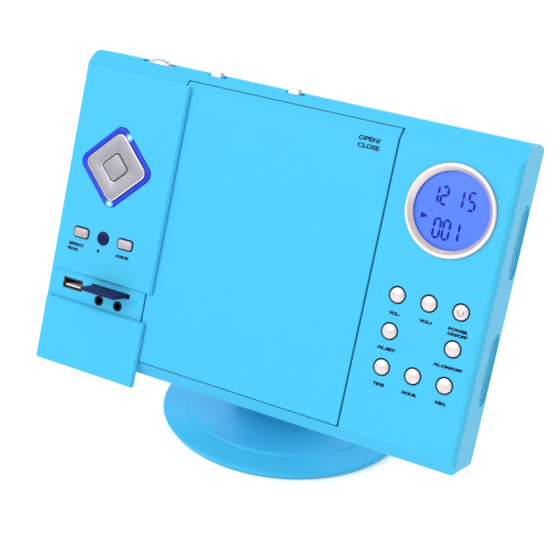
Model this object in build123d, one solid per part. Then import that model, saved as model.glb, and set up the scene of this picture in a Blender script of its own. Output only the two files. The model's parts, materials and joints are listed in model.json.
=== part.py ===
# Tabletop disc player whose flat body leans back on a round foot. Millimetres.
from build123d import *
from math import cos, hypot, pi, radians, sin, sqrt, tan
import os

# Row frame: +X to the right, -Y to the viewer, +Z up, origin under the middle of the foot.
# Body frame: x to the right, y up along the leaning face, z out of the face towards the viewer,
# with its origin at the middle of the face. Most pieces are drawn in the body frame and leaned last.

# Stance of the body
lean_angle = 18.2
face_ahead_of_foot = 47.8
face_centre_height = 129.0

# Housing
body_width = 271.0
body_height = 180.5
shell_depth = 32.5
wall = 2.2
outline_corner = 3.5
side_edge_round = 3.5
top_bevel_height = 11.6
top_bevel_depth = 8.9
bottom_bevel_height = 8.2
bottom_bevel_depth = 6.2
rear_depth = 7.0
rear_draft = 40.0
crease_round = 0.6

# Gaps between pieces
running_gap = 0.05
slide_gap = 0.3
button_gap = 0.35
seat_gap = 0.2

# Disc door and its hinge
door_width = 132.2
door_height = 165.6
door_centre_x = -0.3
door_centre_y = 0.85
door_thickness = 2.6
door_gap = 0.45
door_gap_hinge = 0.9
door_gap_open_side = 1.1
door_corner = 1.0
door_rib_depth = 2.4
door_rib_width = 1.6
hinge_inset = 7.4
hinge_depth = 3.0
hinge_pin_radius = 0.9
knuckle_radius = 1.9
knuckle_length = 7.0
lug_length = 4.0
hinge_reach = 73.3
hinge_notch_gap = 0.4

# Latch on the open side of the door
hook_inset = 6.5
hook_height = 62.0
hook_width = 8.0
hook_thickness = 1.6
hook_depth = 11.5
hook_lip = 1.3
latch_width = 12.0
latch_depth = 8.0

# Disc bay
disc_seat_depth = 10.0
bay_floor_depth = 11.5
bay_land_depth = 8.5
bay_skin = 2.0
bay_wall = 2.5
bay_top_wall = 1.1
bay_recess_radius = 62.5
disc_offset_x = 2.7
finger_scoop_radius = 11.0
bay_slot_width = 24.0
bay_hole_radius = 17.0
bay_ear = 8.0

# Disc drive
turntable_radius = 15.0
turntable_thickness = 1.6
hub_radius = 7.3
hub_height = 3.0
spindle_radius = 1.0
chassis_top_depth = 15.5
chassis_skin = 2.0
chassis_left = 22.0
chassis_right = 72.0
chassis_above = 28.5
chassis_below = 40.0
chassis_rim = 6.5
motor_radius = 12.0
motor_length = 9.0
rod_radius = 1.5
rod_offset = 13.0
rod_depth = 21.2
rod_lug = 2.6
sled_width = 20.0
sled_height = 34.0
sled_top_depth = 18.0
sled_thickness = 6.0
sled_start = 17.0
sled_travel = 32.0
lens_radius = 3.2
lens_top_depth = 12.4
lens_from_sled_edge = 9.0
lens_float = 0.4
damper_radius = 4.2
damper_height = 2.0

# Sled gears
rack_module = 0.6
rack_base = 1.6
rack_thickness = 3.0
small_gear_teeth = 14
gear_module = 0.5
large_gear_teeth = 36
pinion_teeth = 10
gear_thickness = 1.5
backlash = 0.16
gear_post_radius = 1.0
gear_x = 20.0
sled_motor_radius = 6.0
sled_motor_length = 6.0

# Left panel and the sliding cover of the ports
panel_proud = 2.8
panel_lift = 0.4
panel_edge = 1.1
panel_left_inset = 2.9
panel_overlap = 4.1
panel_top = 80.95
panel_bottom = -41.45
cover_length = 39.6
cover_drop = 16.8
cover_left_inset = 2.5
cover_right_step = 0.9
runner_width = 1.8
runner_length = 3.6
runner_head_width = 5.0
runner_head = 1.3
runner_spacing = 38.0
runner_from_top = 19.8

# Left controls
left_controls_shift = 0.55
pad_y = 25.9
ring_side = 36.8
ring_corner = 6.0
pad_side = 31.0
pad_corner = 4.8
pad_proud = 1.1
ring_proud = 0.6
play_side = 12.6
play_corner = 2.2
play_slot = 0.6
pad_switch_reach = 14.0
pad_switch_gap = 0.6
key_y = -16.8
key_spacing = 30.8
key_width = 9.6
key_height = 5.4
key_corner = 1.6
key_proud = 1.0
key_gap = 0.8
key_flange = 1.3
window_radius = 4.0

# Ports
usb_shift = -16.25
usb_y = -48.9
usb_gap = 0.4
usb_tab = 1.6
usb_width = 13.1
usb_height = 5.9
usb_wall = 0.4
usb_depth = 14.0
tongue_thickness = 1.9
card_shift = 10.15
card_y = -46.6
card_width = 24.0
card_length = 32.0
card_thickness = 2.1
card_out = 14.5
card_corner = 4.0
card_slot_gap = 0.45
card_socket_floor = 1.1
jack_y = -54.0
jack_spacing = 13.2
jack_bore_radius = 1.8
jack_nose_radius = 2.9
jack_body = 7.6
jack_length = 14.0

# Right controls
display_shift = 1.95
display_y = 47.6
bezel_radius = 25.4
bezel_inner_radius = 20.9
bezel_proud = 2.0
bezel_skirt = 1.4
lens_thickness = 1.2
lens_recess = 0.9
buttons_shift = 1.45
buttons_y = -22.85
button_pitch_x = 18.15
button_pitch_y = 20.1
button_radius = 4.1
button_dome = 0.8
button_proud = 0.9
button_travel = 0.8
round_button_gap = 0.9
button_flange = 1.4
button_stem_radius = 1.6

# Boards
board_thickness = 1.6
board_depth = 12.0
port_board_reach = 34.5
switch_side = 6.0
switch_height = 3.4
plunger_radius = 1.75
plunger_height = 1.2

# Controls on top
wheel_shift = 9.55
wheel_radius = 11.8
wheel_thickness = 4.2
wheel_proud = 2.3
wheel_depth = 10.4
wheel_grooves = 28
top_switch_left_shift = -51.6
top_switch_right_shift = -1.9
top_switch_depth = 10.3
knob_length = 7.6
knob_width = 4.2
knob_proud = 2.0
knob_travel = 3.0
carriage_thickness = 1.6
carriage_back = 20.5
switch_body_length = 14.0
switch_body_width = 7.0
switch_body_height = 5.0
switch_body_depth = 18.5

# Speakers behind the sides
speaker_length = 40.0
speaker_width = 15.0
speaker_depth = 11.0
speaker_high = 37.2
vent_low = -33.2
speaker_behind_face = 24.0
slot_length = 36.0
slot_width = 1.7
slot_pitch = 3.6
slots_across = 3
grille_dish = 0.8
grille_length = 41.0
grille_width = 13.0

# Rear shell details
screw_clamp = 3.0
vents_inset = 38.5
vent_length = 26.0
vent_width = 2.0
vent_pitch = 5.0
vent_count = 7
inlet_radius = 2.9
inlet_pin_radius = 1.0
inlet_inset = 39.5
inlet_y = -62.0
inlet_depth = 11.0
keyhole_spacing = 140.0
keyhole_y = 52.0
keyhole_head_radius = 4.0
keyhole_slot_radius = 2.0
keyhole_rise = 7.0
boss_radius = 3.4
screw_radius = 1.3
screw_head_radius = 2.7
screw_head_height = 1.8
screw_inset_x = 9.0
screw_inset_y = 10.0
edge_screw_x = 30.0
edge_screw_inset = 4.3
edge_boss_front = 22.0
small_screw_length = 7.0
small_screw_head = 2.2
small_screw_shank = 1.0

# Foot and neck
foot_radius = 77.4
foot_bottom_radius = 75.5
foot_rim_height = 3.3
foot_lift = 1.0
foot_wall = 2.4
step_radius = 63.7
step_height = 7.6
step_rise = 1.5
foot_crown = 12.2
pad_radius = 60.0
pad_thickness = 1.5
weight_radius = 56.0
weight_thickness = 3.0
neck_width_foot = 62.0
neck_width_top = 50.0
neck_front = -16.0
neck_back = 38.0
neck_top_y = 2.0
neck_low_y = -58.0
neck_thickness = 16.0
neck_edge_round = 4.0
neck_skin = 3.0
neck_hollow_width = 24.0
neck_plate = 4.0
neck_screw_spacing_x = 34.0
neck_screw_spacing_y = 30.0
neck_screw_length = 16.0
neck_boss_reach = 12.5
foot_screw_seat = 3.4

# Places that follow from the sizes above
left_edge = -body_width / 2
right_edge = body_width / 2
top_edge = body_height / 2
bottom_edge = -body_height / 2
door_left = door_centre_x - door_width / 2
door_right = door_centre_x + door_width / 2
door_top = door_centre_y + door_height / 2
door_bottom = door_centre_y - door_height / 2
left_column = (left_edge + door_left) / 2
right_column = (door_right + right_edge) / 2
left_controls_x = left_column + left_controls_shift
usb_x = left_column + usb_shift
card_x = left_column + card_shift
wheel_x = left_column + wheel_shift
top_switch_left_x = door_centre_x + top_switch_left_shift
top_switch_right_x = door_centre_x + top_switch_right_shift
display_x = right_column + display_shift
buttons_x = right_column + buttons_shift
vents_x = right_edge - vents_inset
inlet_x = right_edge - inlet_inset
opening_left = door_left - door_gap_hinge
opening_right = door_right + door_gap_open_side
opening_top = door_top + door_gap
opening_bottom = door_bottom - door_gap
hinge_x = door_left + hinge_inset
hinge_z = -hinge_depth
disc_x = door_centre_x + disc_offset_x
disc_y = door_centre_y
rear_back = -shell_depth - rear_depth
cover_top = panel_bottom - slide_gap - cover_drop
cover_bottom = cover_top - cover_length
chassis_z = -chassis_top_depth
small_gear_radius = small_gear_teeth * rack_module / 2
large_gear_radius = large_gear_teeth * gear_module / 2
pinion_radius = pinion_teeth * gear_module / 2

# Where the body frame stands in the row frame
body_place = Plane(
    origin=(0, -face_ahead_of_foot, face_centre_height),
    x_dir=(1, 0, 0),
    z_dir=(0, -cos(radians(lean_angle)), sin(radians(lean_angle))),
).location


# Small helpers


def block(x0, x1, y0, y1, z0, z1, corner=0.0):
    """A flat block from its edges, with its upright corners rounded."""
    wide = x1 - x0
    high = y1 - y0
    outline = RectangleRounded(wide, high, corner) if corner > 0 else Rectangle(wide, high)
    return Pos((x0 + x1) / 2, (y0 + y1) / 2, z0) * extrude(outline, z1 - z0)


def post(x, y, radius, z0, z1):
    """A round post along z."""
    return Pos(x, y, z0) * extrude(Circle(radius), z1 - z0)


def rod_along(axis, x, y, z, radius, length):
    """A round rod centred on a point, along x or along y."""
    turn = Rot(0, 90, 0) if axis == "x" else Rot(90, 0, 0)
    return Pos(x, y, z) * turn * Cylinder(radius, length)


def soften(part, edges, radius):
    """Rounds the chosen edges."""
    return fillet(edges, radius)


def edges_at(part, axis, place, tolerance=0.01):
    """The edges that lie wholly at one place along an axis."""
    return part.edges().filter_by_position(axis, place - tolerance, place + tolerance)


# Housing form: the meeting of a front view, a side view and a top view


def side_view(inset):
    """Bevelled outline of the body seen from its side, open far behind the body."""
    far = -4 * shell_depth
    corners = [
        (bottom_edge, far),
        (bottom_edge, -bottom_bevel_depth),
        (bottom_edge + bottom_bevel_height, 0),
        (top_edge - top_bevel_height, 0),
        (top_edge, -top_bevel_depth),
        (top_edge, far),
    ]
    outline = make_face(Polyline(*corners, close=True))
    return offset(outline, -inset, kind=Kind.INTERSECTION) if inset else outline


def housing_block(inset, back):
    """The body's outer form, drawn in by inset all round, from its front to back."""
    corner = max(outline_corner - inset, 0.6)
    edge = max(side_edge_round - inset, 0.6)
    front = RectangleRounded(body_width - 2 * inset, body_height - 2 * inset, corner)
    front_form = Pos(0, 0, back) * extrude(front, -back)
    top = RectangleRounded(body_width - 2 * inset, 8 * shell_depth, edge)
    top_form = extrude(Plane.XZ * Pos(0, -inset - 4 * shell_depth) * top, body_height, both=True)
    side_form = extrude(Plane.YZ * side_view(inset), body_width, both=True)
    return (side_form & top_form) & front_form


def slot_row(count, pitch, length, width, depth):
    """Parallel slots with round ends, along y, cut along z."""
    slots = [Pos((i - (count - 1) / 2) * pitch, 0) * SlotOverall(length, width, 90) for i in range(count)]
    return extrude(Sketch() + slots, depth)


def button_places():
    """Centres of the eight round buttons: a square of three by three without its middle."""
    rows = [1, 0, -1]
    return [
        (buttons_x + column * button_pitch_x, buttons_y + row * button_pitch_y)
        for row in rows
        for column in [-1, 0, 1]
        if row or column
    ]


def key_places():
    """Centres of the two small keys beside the receiver window."""
    return [(left_controls_x + side * key_spacing / 2, key_y) for side in [-1, 1]]


def diamond(side, corner):
    """A rounded square standing on one corner."""
    return Rot(0, 0, 45) * RectangleRounded(side, side, corner)


def jack_places():
    """Centres of the two round jacks, under the memory card."""
    return [(card_x + side * jack_spacing / 2, jack_y) for side in [-1, 1]]


def shell_screw_places():
    """Six screws between the two shells: their x, y and how far forward each post reaches."""
    x = right_edge - screw_inset_x
    y = top_edge - screw_inset_y
    edge = top_edge - edge_screw_inset
    corners = [(side * x, end * y, wall / 2) for end in [1, -1] for side in [-1, 1]]
    return corners + [(edge_screw_x, end * edge, edge_boss_front) for end in [1, -1]]


def board_screw_places():
    """Screws of the two boards that lie behind the face."""
    right_board = [(button_board_left() + 3, y) for y in [72, -70]]
    right_board += [(right_edge - 13, y) for y in [74, -70]]
    left_board = [(left_controls_x + side * 17, key_board_top() - 4) for side in [-1, 1]]
    return right_board + left_board + [(left_controls_x, key_board_bottom() + 3)]


def runner_places():
    """Middles of the two runners that guide the sliding cover."""
    middle = (left_edge + cover_left_inset + door_left + panel_overlap - cover_right_step) / 2
    y = cover_top - runner_from_top
    return [(middle + side * runner_spacing / 2, y) for side in [-1, 1]]


def speaker_openings(side):
    """The shallow dishes in one side wall and the long slots in each dish."""
    depth = wall + 3
    slots = Rot(0, 90 * side, 0) * slot_row(slots_across, slot_pitch, slot_length, slot_width, depth)
    dish = Rot(0, 90 * side, 0) * extrude(SlotOverall(grille_length, grille_width, 90), 5)
    cuts = []
    for y in [speaker_high, vent_low]:
        cuts.append(Pos(side * (right_edge - depth + 1), y, -speaker_behind_face) * slots)
        cuts.append(Pos(side * (right_edge - grille_dish), y, -speaker_behind_face) * dish)
    return cuts


# Housing pieces


def front_shell():
    """The front half of the body: side walls, front wall with its openings, posts and notches."""
    outer = housing_block(0, -shell_depth)
    shell = outer - housing_block(wall, -4 * shell_depth)
    deep = -wall - 8
    shell -= block(opening_left, opening_right, opening_bottom, opening_top, 3 * deep, 5)
    shell -= post(display_x, display_y, bezel_radius - bezel_skirt + seat_gap, deep, 5)
    for x, y in button_places():
        shell -= post(x, y, button_radius + round_button_gap, deep, 5)
    hole = diamond(ring_side - 2 * bezel_skirt, ring_corner - bezel_skirt)
    shell -= Pos(left_controls_x, pad_y, deep) * extrude(hole, 20)
    for x, y in key_places():
        wide = key_width / 2 + key_gap
        high = key_height / 2 + key_gap
        shell -= block(x - wide, x + wide, y - high, y + high, deep, 5, key_corner + key_gap)
    shell -= post(left_controls_x, key_y, window_radius - 0.5, deep, 5)
    shell -= usb_outline(usb_gap, deep, 5)
    half_card = card_width / 2 + 1.6
    half_slot = card_thickness / 2 + card_slot_gap
    slot_low = card_y - half_slot
    shell -= block(card_x - half_card, card_x + half_card, slot_low, card_y + half_slot, deep, 5, 0.5)
    for x, y in jack_places():
        shell -= post(x, y, jack_nose_radius + seat_gap, deep, 5)
    for x, y in runner_places():
        low = y - runner_length / 2 - slide_gap
        high = y + runner_length / 2 + cover_drop + slide_gap
        half = runner_width / 2 + slide_gap
        shell -= block(x - half, x + half, low, high, deep, 5)
    for side in [-1, 1]:
        for cut in speaker_openings(side):
            shell -= cut
    shell -= top_openings()
    solid = housing_block(wall / 2, -shell_depth)
    for x, y, front in shell_screw_places():
        shell += post(x, y, boss_radius, -shell_depth, -front) & solid
        shell -= post(x, y, screw_radius, -shell_depth - 1, -shell_depth + 10)
    for x, y in bay_screw_places():
        shell += post(x, y, small_screw_head, -bay_land_depth, -wall / 2)
        tip = -bay_land_depth + small_screw_length - bay_skin + 0.3
        shell -= post(x, y, small_screw_shank, -bay_land_depth - 1, tip)
    for x, y in board_screw_places():
        shell += post(x, y, small_screw_head, -board_depth, -wall / 2)
        tip = -board_depth - board_thickness + small_screw_length + 0.3
        shell -= post(x, y, small_screw_shank, -board_depth - 1, tip)
    return shell


def top_openings():
    """The thumbwheel's slot and the two switch slots, which break through the top bevel."""
    reach = sqrt(wheel_radius**2 - (wheel_radius - wheel_proud - 2 * wall) ** 2) + slide_gap
    half = wheel_thickness / 2 + slide_gap
    high = top_edge + 1
    low = top_edge - 3 * wall
    cuts = block(wheel_x - reach, wheel_x + reach, low, high, -wheel_depth - half, -wheel_depth + half)
    low = top_edge - wall - 1
    for x in [top_switch_left_x, top_switch_right_x]:
        long = (knob_length + knob_travel) / 2 + slide_gap
        half = knob_width / 2 + slide_gap
        cuts += block(x - long, x + long, low, high, -top_switch_depth - half, -top_switch_depth + half)
    return cuts


def rear_shell():
    """A shallow tray with sloped sides that closes the back."""
    outline = RectangleRounded(body_width, body_height, outline_corner)
    outer = Pos(0, 0, -shell_depth) * extrude(outline, -rear_depth, taper=rear_draft)
    inner_outline = RectangleRounded(body_width - 2 * wall, body_height - 2 * wall, outline_corner - wall)
    inner = Pos(0, 0, -shell_depth) * extrude(inner_outline, -rear_depth + wall, taper=rear_draft)
    shell = outer - inner
    for x, y, _ in shell_screw_places():
        shell += post(x, y, boss_radius, rear_back, -shell_depth) & outer
        shell -= post(x, y, screw_radius + seat_gap, rear_back - 1, -shell_depth + 1)
        shell -= post(x, y, screw_head_radius + seat_gap, rear_back - 1, -shell_depth - screw_clamp)
    for x, y in neck_screw_places():
        shell += post(x, y, boss_radius, rear_back + 0.5, rear_back + neck_boss_reach)
        shell -= post(x, y, screw_radius, rear_back - 1, rear_back + neck_boss_reach + 1)
    for x in [-vents_x, vents_x]:
        for y in [speaker_high, vent_low + 2]:
            vents = slot_row(vent_count, vent_pitch, vent_length, vent_width, wall + 2)
            shell -= Pos(x, y, rear_back - 1) * vents
    for side in [-1, 1]:
        x = side * keyhole_spacing / 2
        shell -= post(x, keyhole_y, keyhole_head_radius, rear_back - 1, rear_back + wall + 1)
        slot = SlotCenterToCenter(keyhole_rise, 2 * keyhole_slot_radius, 90)
        shell -= Pos(x, keyhole_y + keyhole_rise / 2, rear_back - 1) * extrude(slot, wall + 2)
    shell -= post(inlet_x, inlet_y, inlet_radius + 1.2 + seat_gap, rear_back - 1, rear_back + wall + 1)
    for x in [usb_x, card_x]:
        shell += post(x, port_board_top() - board_thickness / 2, 2.4, rear_back + 1, -port_board_reach)
    return shell


def neck_screw_places():
    """Four screws that hold the neck to the rear shell."""
    middle = (neck_top_y + neck_low_y) / 2
    rows = [middle - neck_screw_spacing_y / 2, middle + neck_screw_spacing_y / 2]
    return [(side * neck_screw_spacing_x / 2, y) for y in rows for side in [-1, 1]]


def screw(head_radius, head_height, shank_radius, shank_length):
    """A pan head screw whose shank points along +z and whose head's seat is at z = 0."""
    head = post(0, 0, head_radius, -head_height, 0)
    head = fillet(head.edges().sort_by(Axis.Z)[0], head_height * 0.45)
    blade = head_radius * 1.3
    drive = extrude(Rectangle(0.7, blade) + Rectangle(blade, 0.7), head_height * 0.5)
    shank = post(0, 0, shank_radius, 0, shank_length)
    return head + shank - Pos(0, 0, -head_height) * drive


def shell_screws():
    """The six screws of the rear shell."""
    one = screw(screw_head_radius, screw_head_height, screw_radius, screw_clamp + 9)
    seat = -shell_depth - screw_clamp
    return Compound(children=[Pos(x, y, seat) * one for x, y, _ in shell_screw_places()])


def inner_screws():
    """The small screws that hold the disc bay and the boards, all of one kind."""
    one = screw(small_screw_head, 1.4, small_screw_shank, small_screw_length)
    bay = [Pos(x, y, -bay_land_depth - bay_skin) * one for x, y in bay_screw_places()]
    boards = [Pos(x, y, -board_depth - board_thickness) * one for x, y in board_screw_places()]
    return Compound(children=bay + boards)


# Left panel, its controls and the sliding cover


def panel_right():
    """The x of the right edge of the left panel."""
    return door_left + panel_overlap


def left_panel():
    """The raised plate of the left column, which reaches over the edge of the door."""
    left = left_edge + panel_left_inset
    plate = block(left, panel_right(), panel_bottom, panel_top, -top_bevel_depth, panel_proud, 1.2)
    front = plate.faces().sort_by(Axis.Z)[-1]
    plate = chamfer(front.edges(), panel_edge)
    plate -= housing_block(0, -shell_depth)
    over_door = opening_left - 0.4
    low = -top_bevel_depth
    plate -= block(over_door, panel_right() + 1, panel_bottom - 1, panel_top + 1, low, panel_lift)
    hole = diamond(ring_side + 2 * seat_gap, ring_corner)
    plate -= Pos(left_controls_x, pad_y, -5) * extrude(hole, 20)
    for x, y in key_places():
        wide = key_width / 2 + key_gap
        high = key_height / 2 + key_gap
        plate -= block(x - wide, x + wide, y - high, y + high, -5, 9, key_corner + key_gap)
    plate -= post(left_controls_x, key_y, window_radius + seat_gap, -5, 9)
    return plate


def light_ring():
    """The clear blue frame round the direction pad, with a flange behind the panel's face."""
    ring = extrude(diamond(ring_side, ring_corner), panel_proud + ring_proud)
    ring = chamfer(ring.faces().sort_by(Axis.Z)[-1].edges(), 0.5)
    ring -= extrude(diamond(pad_side + 2 * button_gap, pad_corner + button_gap), 20, both=True)
    return Pos(left_controls_x, pad_y, 0) * ring


def nav_pad():
    """The square four-way pad, pivoted at its middle, with a hole for the middle button."""
    top = panel_proud + pad_proud
    pad = Pos(0, 0, -1.2) * extrude(diamond(pad_side, pad_corner), top + 1.2)
    pad = chamfer(pad.faces().sort_by(Axis.Z)[-1].edges(), 0.9)
    pad -= extrude(diamond(play_side + 2 * play_slot, play_corner + play_slot), 20, both=True)
    web = diamond(pad_side - 3.2, pad_corner - 1.6) - diamond(play_side + 4, play_corner)
    pad -= Pos(0, 0, -1.3) * extrude(web, 3.2)
    for x, y in pad_switch_offsets():
        pad += post(x, y, button_stem_radius, switch_top() + pad_switch_gap, 2.5)
    return Pos(left_controls_x, pad_y, 0) * pad


def pad_switch_offsets():
    """The four switches under the pad, from its middle."""
    return [(pad_switch_reach, 0), (0, pad_switch_reach), (-pad_switch_reach, 0), (0, -pad_switch_reach)]


def switch_top():
    """Height of a switch's plunger when it isn't pressed."""
    return -board_depth + switch_height + plunger_height


def play_button():
    """The square button in the middle of the pad, with a flange below and a stem to its switch."""
    top = panel_proud + pad_proud + 0.5
    cap = Pos(0, 0, -2.4) * extrude(diamond(play_side, play_corner), top + 2.4)
    cap = fillet(cap.faces().sort_by(Axis.Z)[-1].edges(), 0.6)
    flange = Pos(0, 0, -3.4) * extrude(diamond(play_side + 2.6, play_corner), 1.2)
    stem = post(0, 0, button_stem_radius, switch_top() + button_travel + 0.05, -3)
    return Pos(left_controls_x, pad_y, 0) * (cap + flange + stem)


def small_key(x, y):
    """A rounded rectangular key with a stem to its switch."""
    top = panel_proud + key_proud
    wide = key_width / 2
    high = key_height / 2
    cap = block(-wide, wide, -high, high, -1.5, top, key_corner)
    cap = fillet(cap.faces().sort_by(Axis.Z)[-1].edges(), 0.7)
    stem = post(0, 0, button_stem_radius, switch_top() + button_travel + 0.05, 0)
    long = wide + key_flange
    tall = high + key_flange
    flange = block(-long, long, -tall, tall, -wall - 1.4, -wall - 0.4, key_corner)
    neck = block(-wide, wide, -high, high, -wall - 1, 0, key_corner)
    return Pos(x, y, 0) * (cap + neck + flange + stem)


def ir_window():
    """The dark round window of the remote receiver, between the two keys."""
    window = post(0, 0, window_radius, 0, panel_proud + 0.3)
    window = fillet(window.faces().sort_by(Axis.Z)[-1].edges(), 0.5)
    return Pos(left_controls_x, key_y, 0) * window


def port_cover():
    """The sliding plate in front of the ports, with two runners hooked behind the front wall."""
    left = left_edge + cover_left_inset
    right = panel_right() - cover_right_step
    plate = block(left, right, cover_bottom, cover_top, panel_lift, panel_proud, 1.2)
    plate = chamfer(plate.faces().sort_by(Axis.Z)[-1].edges(), panel_edge)
    for x, y in runner_places():
        half = runner_width / 2
        long = runner_length / 2
        back = -wall - slide_gap
        plate += block(x - half, x + half, y - long, y + long, back, panel_lift + 0.2)
        half = runner_head_width / 2
        plate += block(x - half, x + half, y - long, y + long, back - runner_head, back)
    return plate


# Door


def door_hook():
    """The hook behind the open side of the door."""
    x = door_right - hook_inset
    half = hook_width / 2
    root = -door_thickness + 0.4
    arm = block(x - hook_thickness / 2, x + hook_thickness / 2, -half, half, -hook_depth, root)
    lip = block(x - hook_thickness / 2 - hook_lip, x, -half, half, -hook_depth, -hook_depth + 1.4)
    return Pos(0, hook_height, 0) * (arm + lip)


def hinge_heights():
    """Where the two hinges lie: from each lug's outer end, up and down from the middle of the door."""
    return [door_centre_y + side * (hinge_reach - lug_length) for side in [-1, 1]]


def disc_door():
    """The large door: a thin plate that follows the bevel, with a rim, ribs, hinge knuckles and a hook."""
    outline = block(door_left, door_right, door_bottom, door_top, -4 * wall - 12, 1, door_corner)
    skin = (housing_block(0, -shell_depth) & outline) - housing_block(door_thickness, -4 * shell_depth)
    rim_in = hinge_inset + knuckle_radius + 3
    rim_low = -door_thickness - door_rib_depth
    rim_left = door_left + rim_in
    rim_outer = block(rim_left, door_right - 1.2, door_bottom + 1.2, door_top - 7, rim_low, -door_thickness)
    rim_inner = block(
        rim_left + door_rib_width,
        door_right - 1.2 - door_rib_width,
        door_bottom + 1.2 + door_rib_width,
        door_top - 7 - door_rib_width,
        -20,
        0,
    )
    door = skin + (rim_outer - rim_inner)
    door = soften(door, edges_at(door, Axis.Z, 0), crease_round)
    for y in hinge_heights():
        side = 1 if y > door_centre_y else -1
        lug_middle = y + side * lug_length / 2
        half = lug_length / 2 + hinge_notch_gap
        clear = knuckle_radius + slide_gap
        door -= rod_along("y", hinge_x, lug_middle, hinge_z, clear, 2 * half)
        door -= block(door_left - 1, hinge_x, lug_middle - half, lug_middle + half, -20, hinge_z + clear)
        knuckle_middle = y - side * (knuckle_length / 2 + hinge_notch_gap)
        door += rod_along("y", hinge_x, knuckle_middle, hinge_z, knuckle_radius, knuckle_length)
        bore = hinge_pin_radius + running_gap
        door -= rod_along("y", hinge_x, knuckle_middle, hinge_z, bore, knuckle_length + 1)
    return door + door_hook()


def hinge_pins():
    """The pins of the two door hinges."""
    pins = []
    for y in hinge_heights():
        side = 1 if y > door_centre_y else -1
        length = lug_length + knuckle_length
        middle = y + side * (lug_length - length / 2)
        pins.append(rod_along("y", hinge_x, middle, hinge_z, hinge_pin_radius, length))
    return Compound(children=pins)


def touch_latch():
    """The latch that holds the door's hook: a small case with a slot that the hook drops into."""
    x = door_right - hook_inset
    half = hook_width / 2 + 0.7
    outer = half + 1.8
    top = -bay_land_depth - bay_skin
    case = block(x - latch_width / 2, x + latch_width / 2 - 1.5, -outer, outer, top - latch_depth, top)
    slot_left = x - hook_thickness / 2 - hook_lip - 0.7
    slot_right = x + hook_thickness / 2 + 1.1
    case -= block(slot_left, slot_right, -half, half, top - latch_depth + 1.5, top + 1)
    return Pos(0, hook_height, 0) * case


# Disc bay and drive


def bay_screw_places():
    """Where the four screws of the disc bay go."""
    x0 = opening_left - bay_wall - bay_ear / 2
    x1 = opening_right + bay_wall + bay_ear / 2
    return [(x0, 58), (x1, 40), (x0, -32), (x1, -60)]


def disc_deck():
    """The moulded bay behind the door: walls, a round recess for the disc and an opening for the drive."""
    back = -bay_floor_depth - bay_skin
    land_back = -bay_land_depth - bay_skin
    inner = (opening_left - 0.2, opening_right + 0.2, opening_bottom - 0.2, opening_top + 0.2)
    low, high = inner[2] - bay_wall, inner[3] + bay_top_wall
    outer = block(inner[0] - bay_wall, inner[1] + bay_wall, low, high, back, 1)
    for x, y in bay_screw_places():
        outer += post(x, y, bay_ear / 2, land_back, -bay_land_depth)
        near = x - (bay_ear / 2 + bay_wall) * (1 if x > 0 else -1)
        half = bay_ear / 2
        outer += block(min(x, near), max(x, near), y - half, y + half, land_back, -bay_land_depth)
    deck = outer & housing_block(wall, -shell_depth)
    deck -= block(*inner, -bay_land_depth, 5)
    recess = post(disc_x, disc_y, bay_recess_radius, -bay_floor_depth, 0)
    for turn in [35, 215]:
        reach = bay_recess_radius - 1
        scoop_x = disc_x + reach * cos(radians(turn))
        scoop_y = disc_y + reach * sin(radians(turn))
        recess += post(scoop_x, scoop_y, finger_scoop_radius, -bay_floor_depth, 0)
    swing = hypot(hinge_inset, hinge_depth) + 2
    recess += block(inner[0], hinge_x + swing, inner[2], inner[3], -bay_floor_depth, 0)
    deck -= recess & block(*inner, -bay_floor_depth, 0)
    deck -= block(*inner, back - 1, land_back) - recess_below(inner, swing)
    half = bay_slot_width / 2
    deck -= block(disc_x, disc_x + chassis_right - 10, disc_y - half, disc_y + half, back - 1, 0, 4)
    deck -= post(disc_x, disc_y, bay_hole_radius, back - 1, 0)
    x = door_right - hook_inset
    half = hook_width / 2 + 0.7
    deck -= block(x - 3.5, x + 2, hook_height - half, hook_height + half, back - 1, 0)
    for y in hinge_heights():
        side = 1 if y > door_centre_y else -1
        middle = y + side * lug_length / 2
        deck += rod_along("y", hinge_x, middle, hinge_z, knuckle_radius, lug_length)
        low = middle - lug_length / 2
        high = middle + lug_length / 2
        deck += block(hinge_x - knuckle_radius, hinge_x + knuckle_radius, low, high, back + 0.5, hinge_z)
        deck -= rod_along("y", hinge_x, middle, hinge_z, hinge_pin_radius, lug_length + 1)
    for x, y in damper_places():
        in_recess = hypot(x - disc_x, y - disc_y) < bay_recess_radius
        top = -bay_floor_depth - 0.5 if in_recess else -bay_land_depth - 0.5
        deck += post(x, y, 2.6, chassis_z + damper_height, top)
        deck -= post(x, y, 1.0, chassis_z + damper_height - 1, back + 1.4)
    for x, y in bay_screw_places():
        deck -= post(x, y, small_screw_shank + seat_gap, land_back - 1, 0)
    return deck


def recess_below(inner, swing):
    """What stays under the deck's deeper floors, so that its skin keeps one thickness."""
    keep = post(disc_x, disc_y, bay_recess_radius + bay_skin, -40, 0)
    for turn in [35, 215]:
        reach = bay_recess_radius - 1
        scoop_x = disc_x + reach * cos(radians(turn))
        scoop_y = disc_y + reach * sin(radians(turn))
        keep += post(scoop_x, scoop_y, finger_scoop_radius + bay_skin, -40, 0)
    keep += block(inner[0] - 1, hinge_x + swing + bay_skin, inner[2] - 1, inner[3] + 1, -40, 0)
    return keep


def damper_places():
    """Where the soft bushes under the drive frame stand."""
    right = disc_x + chassis_right - 6
    left = disc_x - chassis_left + 6
    high = disc_y + chassis_above - 6
    low = disc_y - chassis_below + 6
    return [(left, high), (right, high), (left, low), (right, low)]


def dampers():
    """Four soft bushes that carry the drive: they fill the gap between the deck's posts and the chassis."""
    bush = post(0, 0, damper_radius, 0, damper_height)
    bush -= Cylinder(1.5, 20)
    return Compound(children=[Pos(x, y, chassis_z) * bush for x, y in damper_places()])


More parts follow.
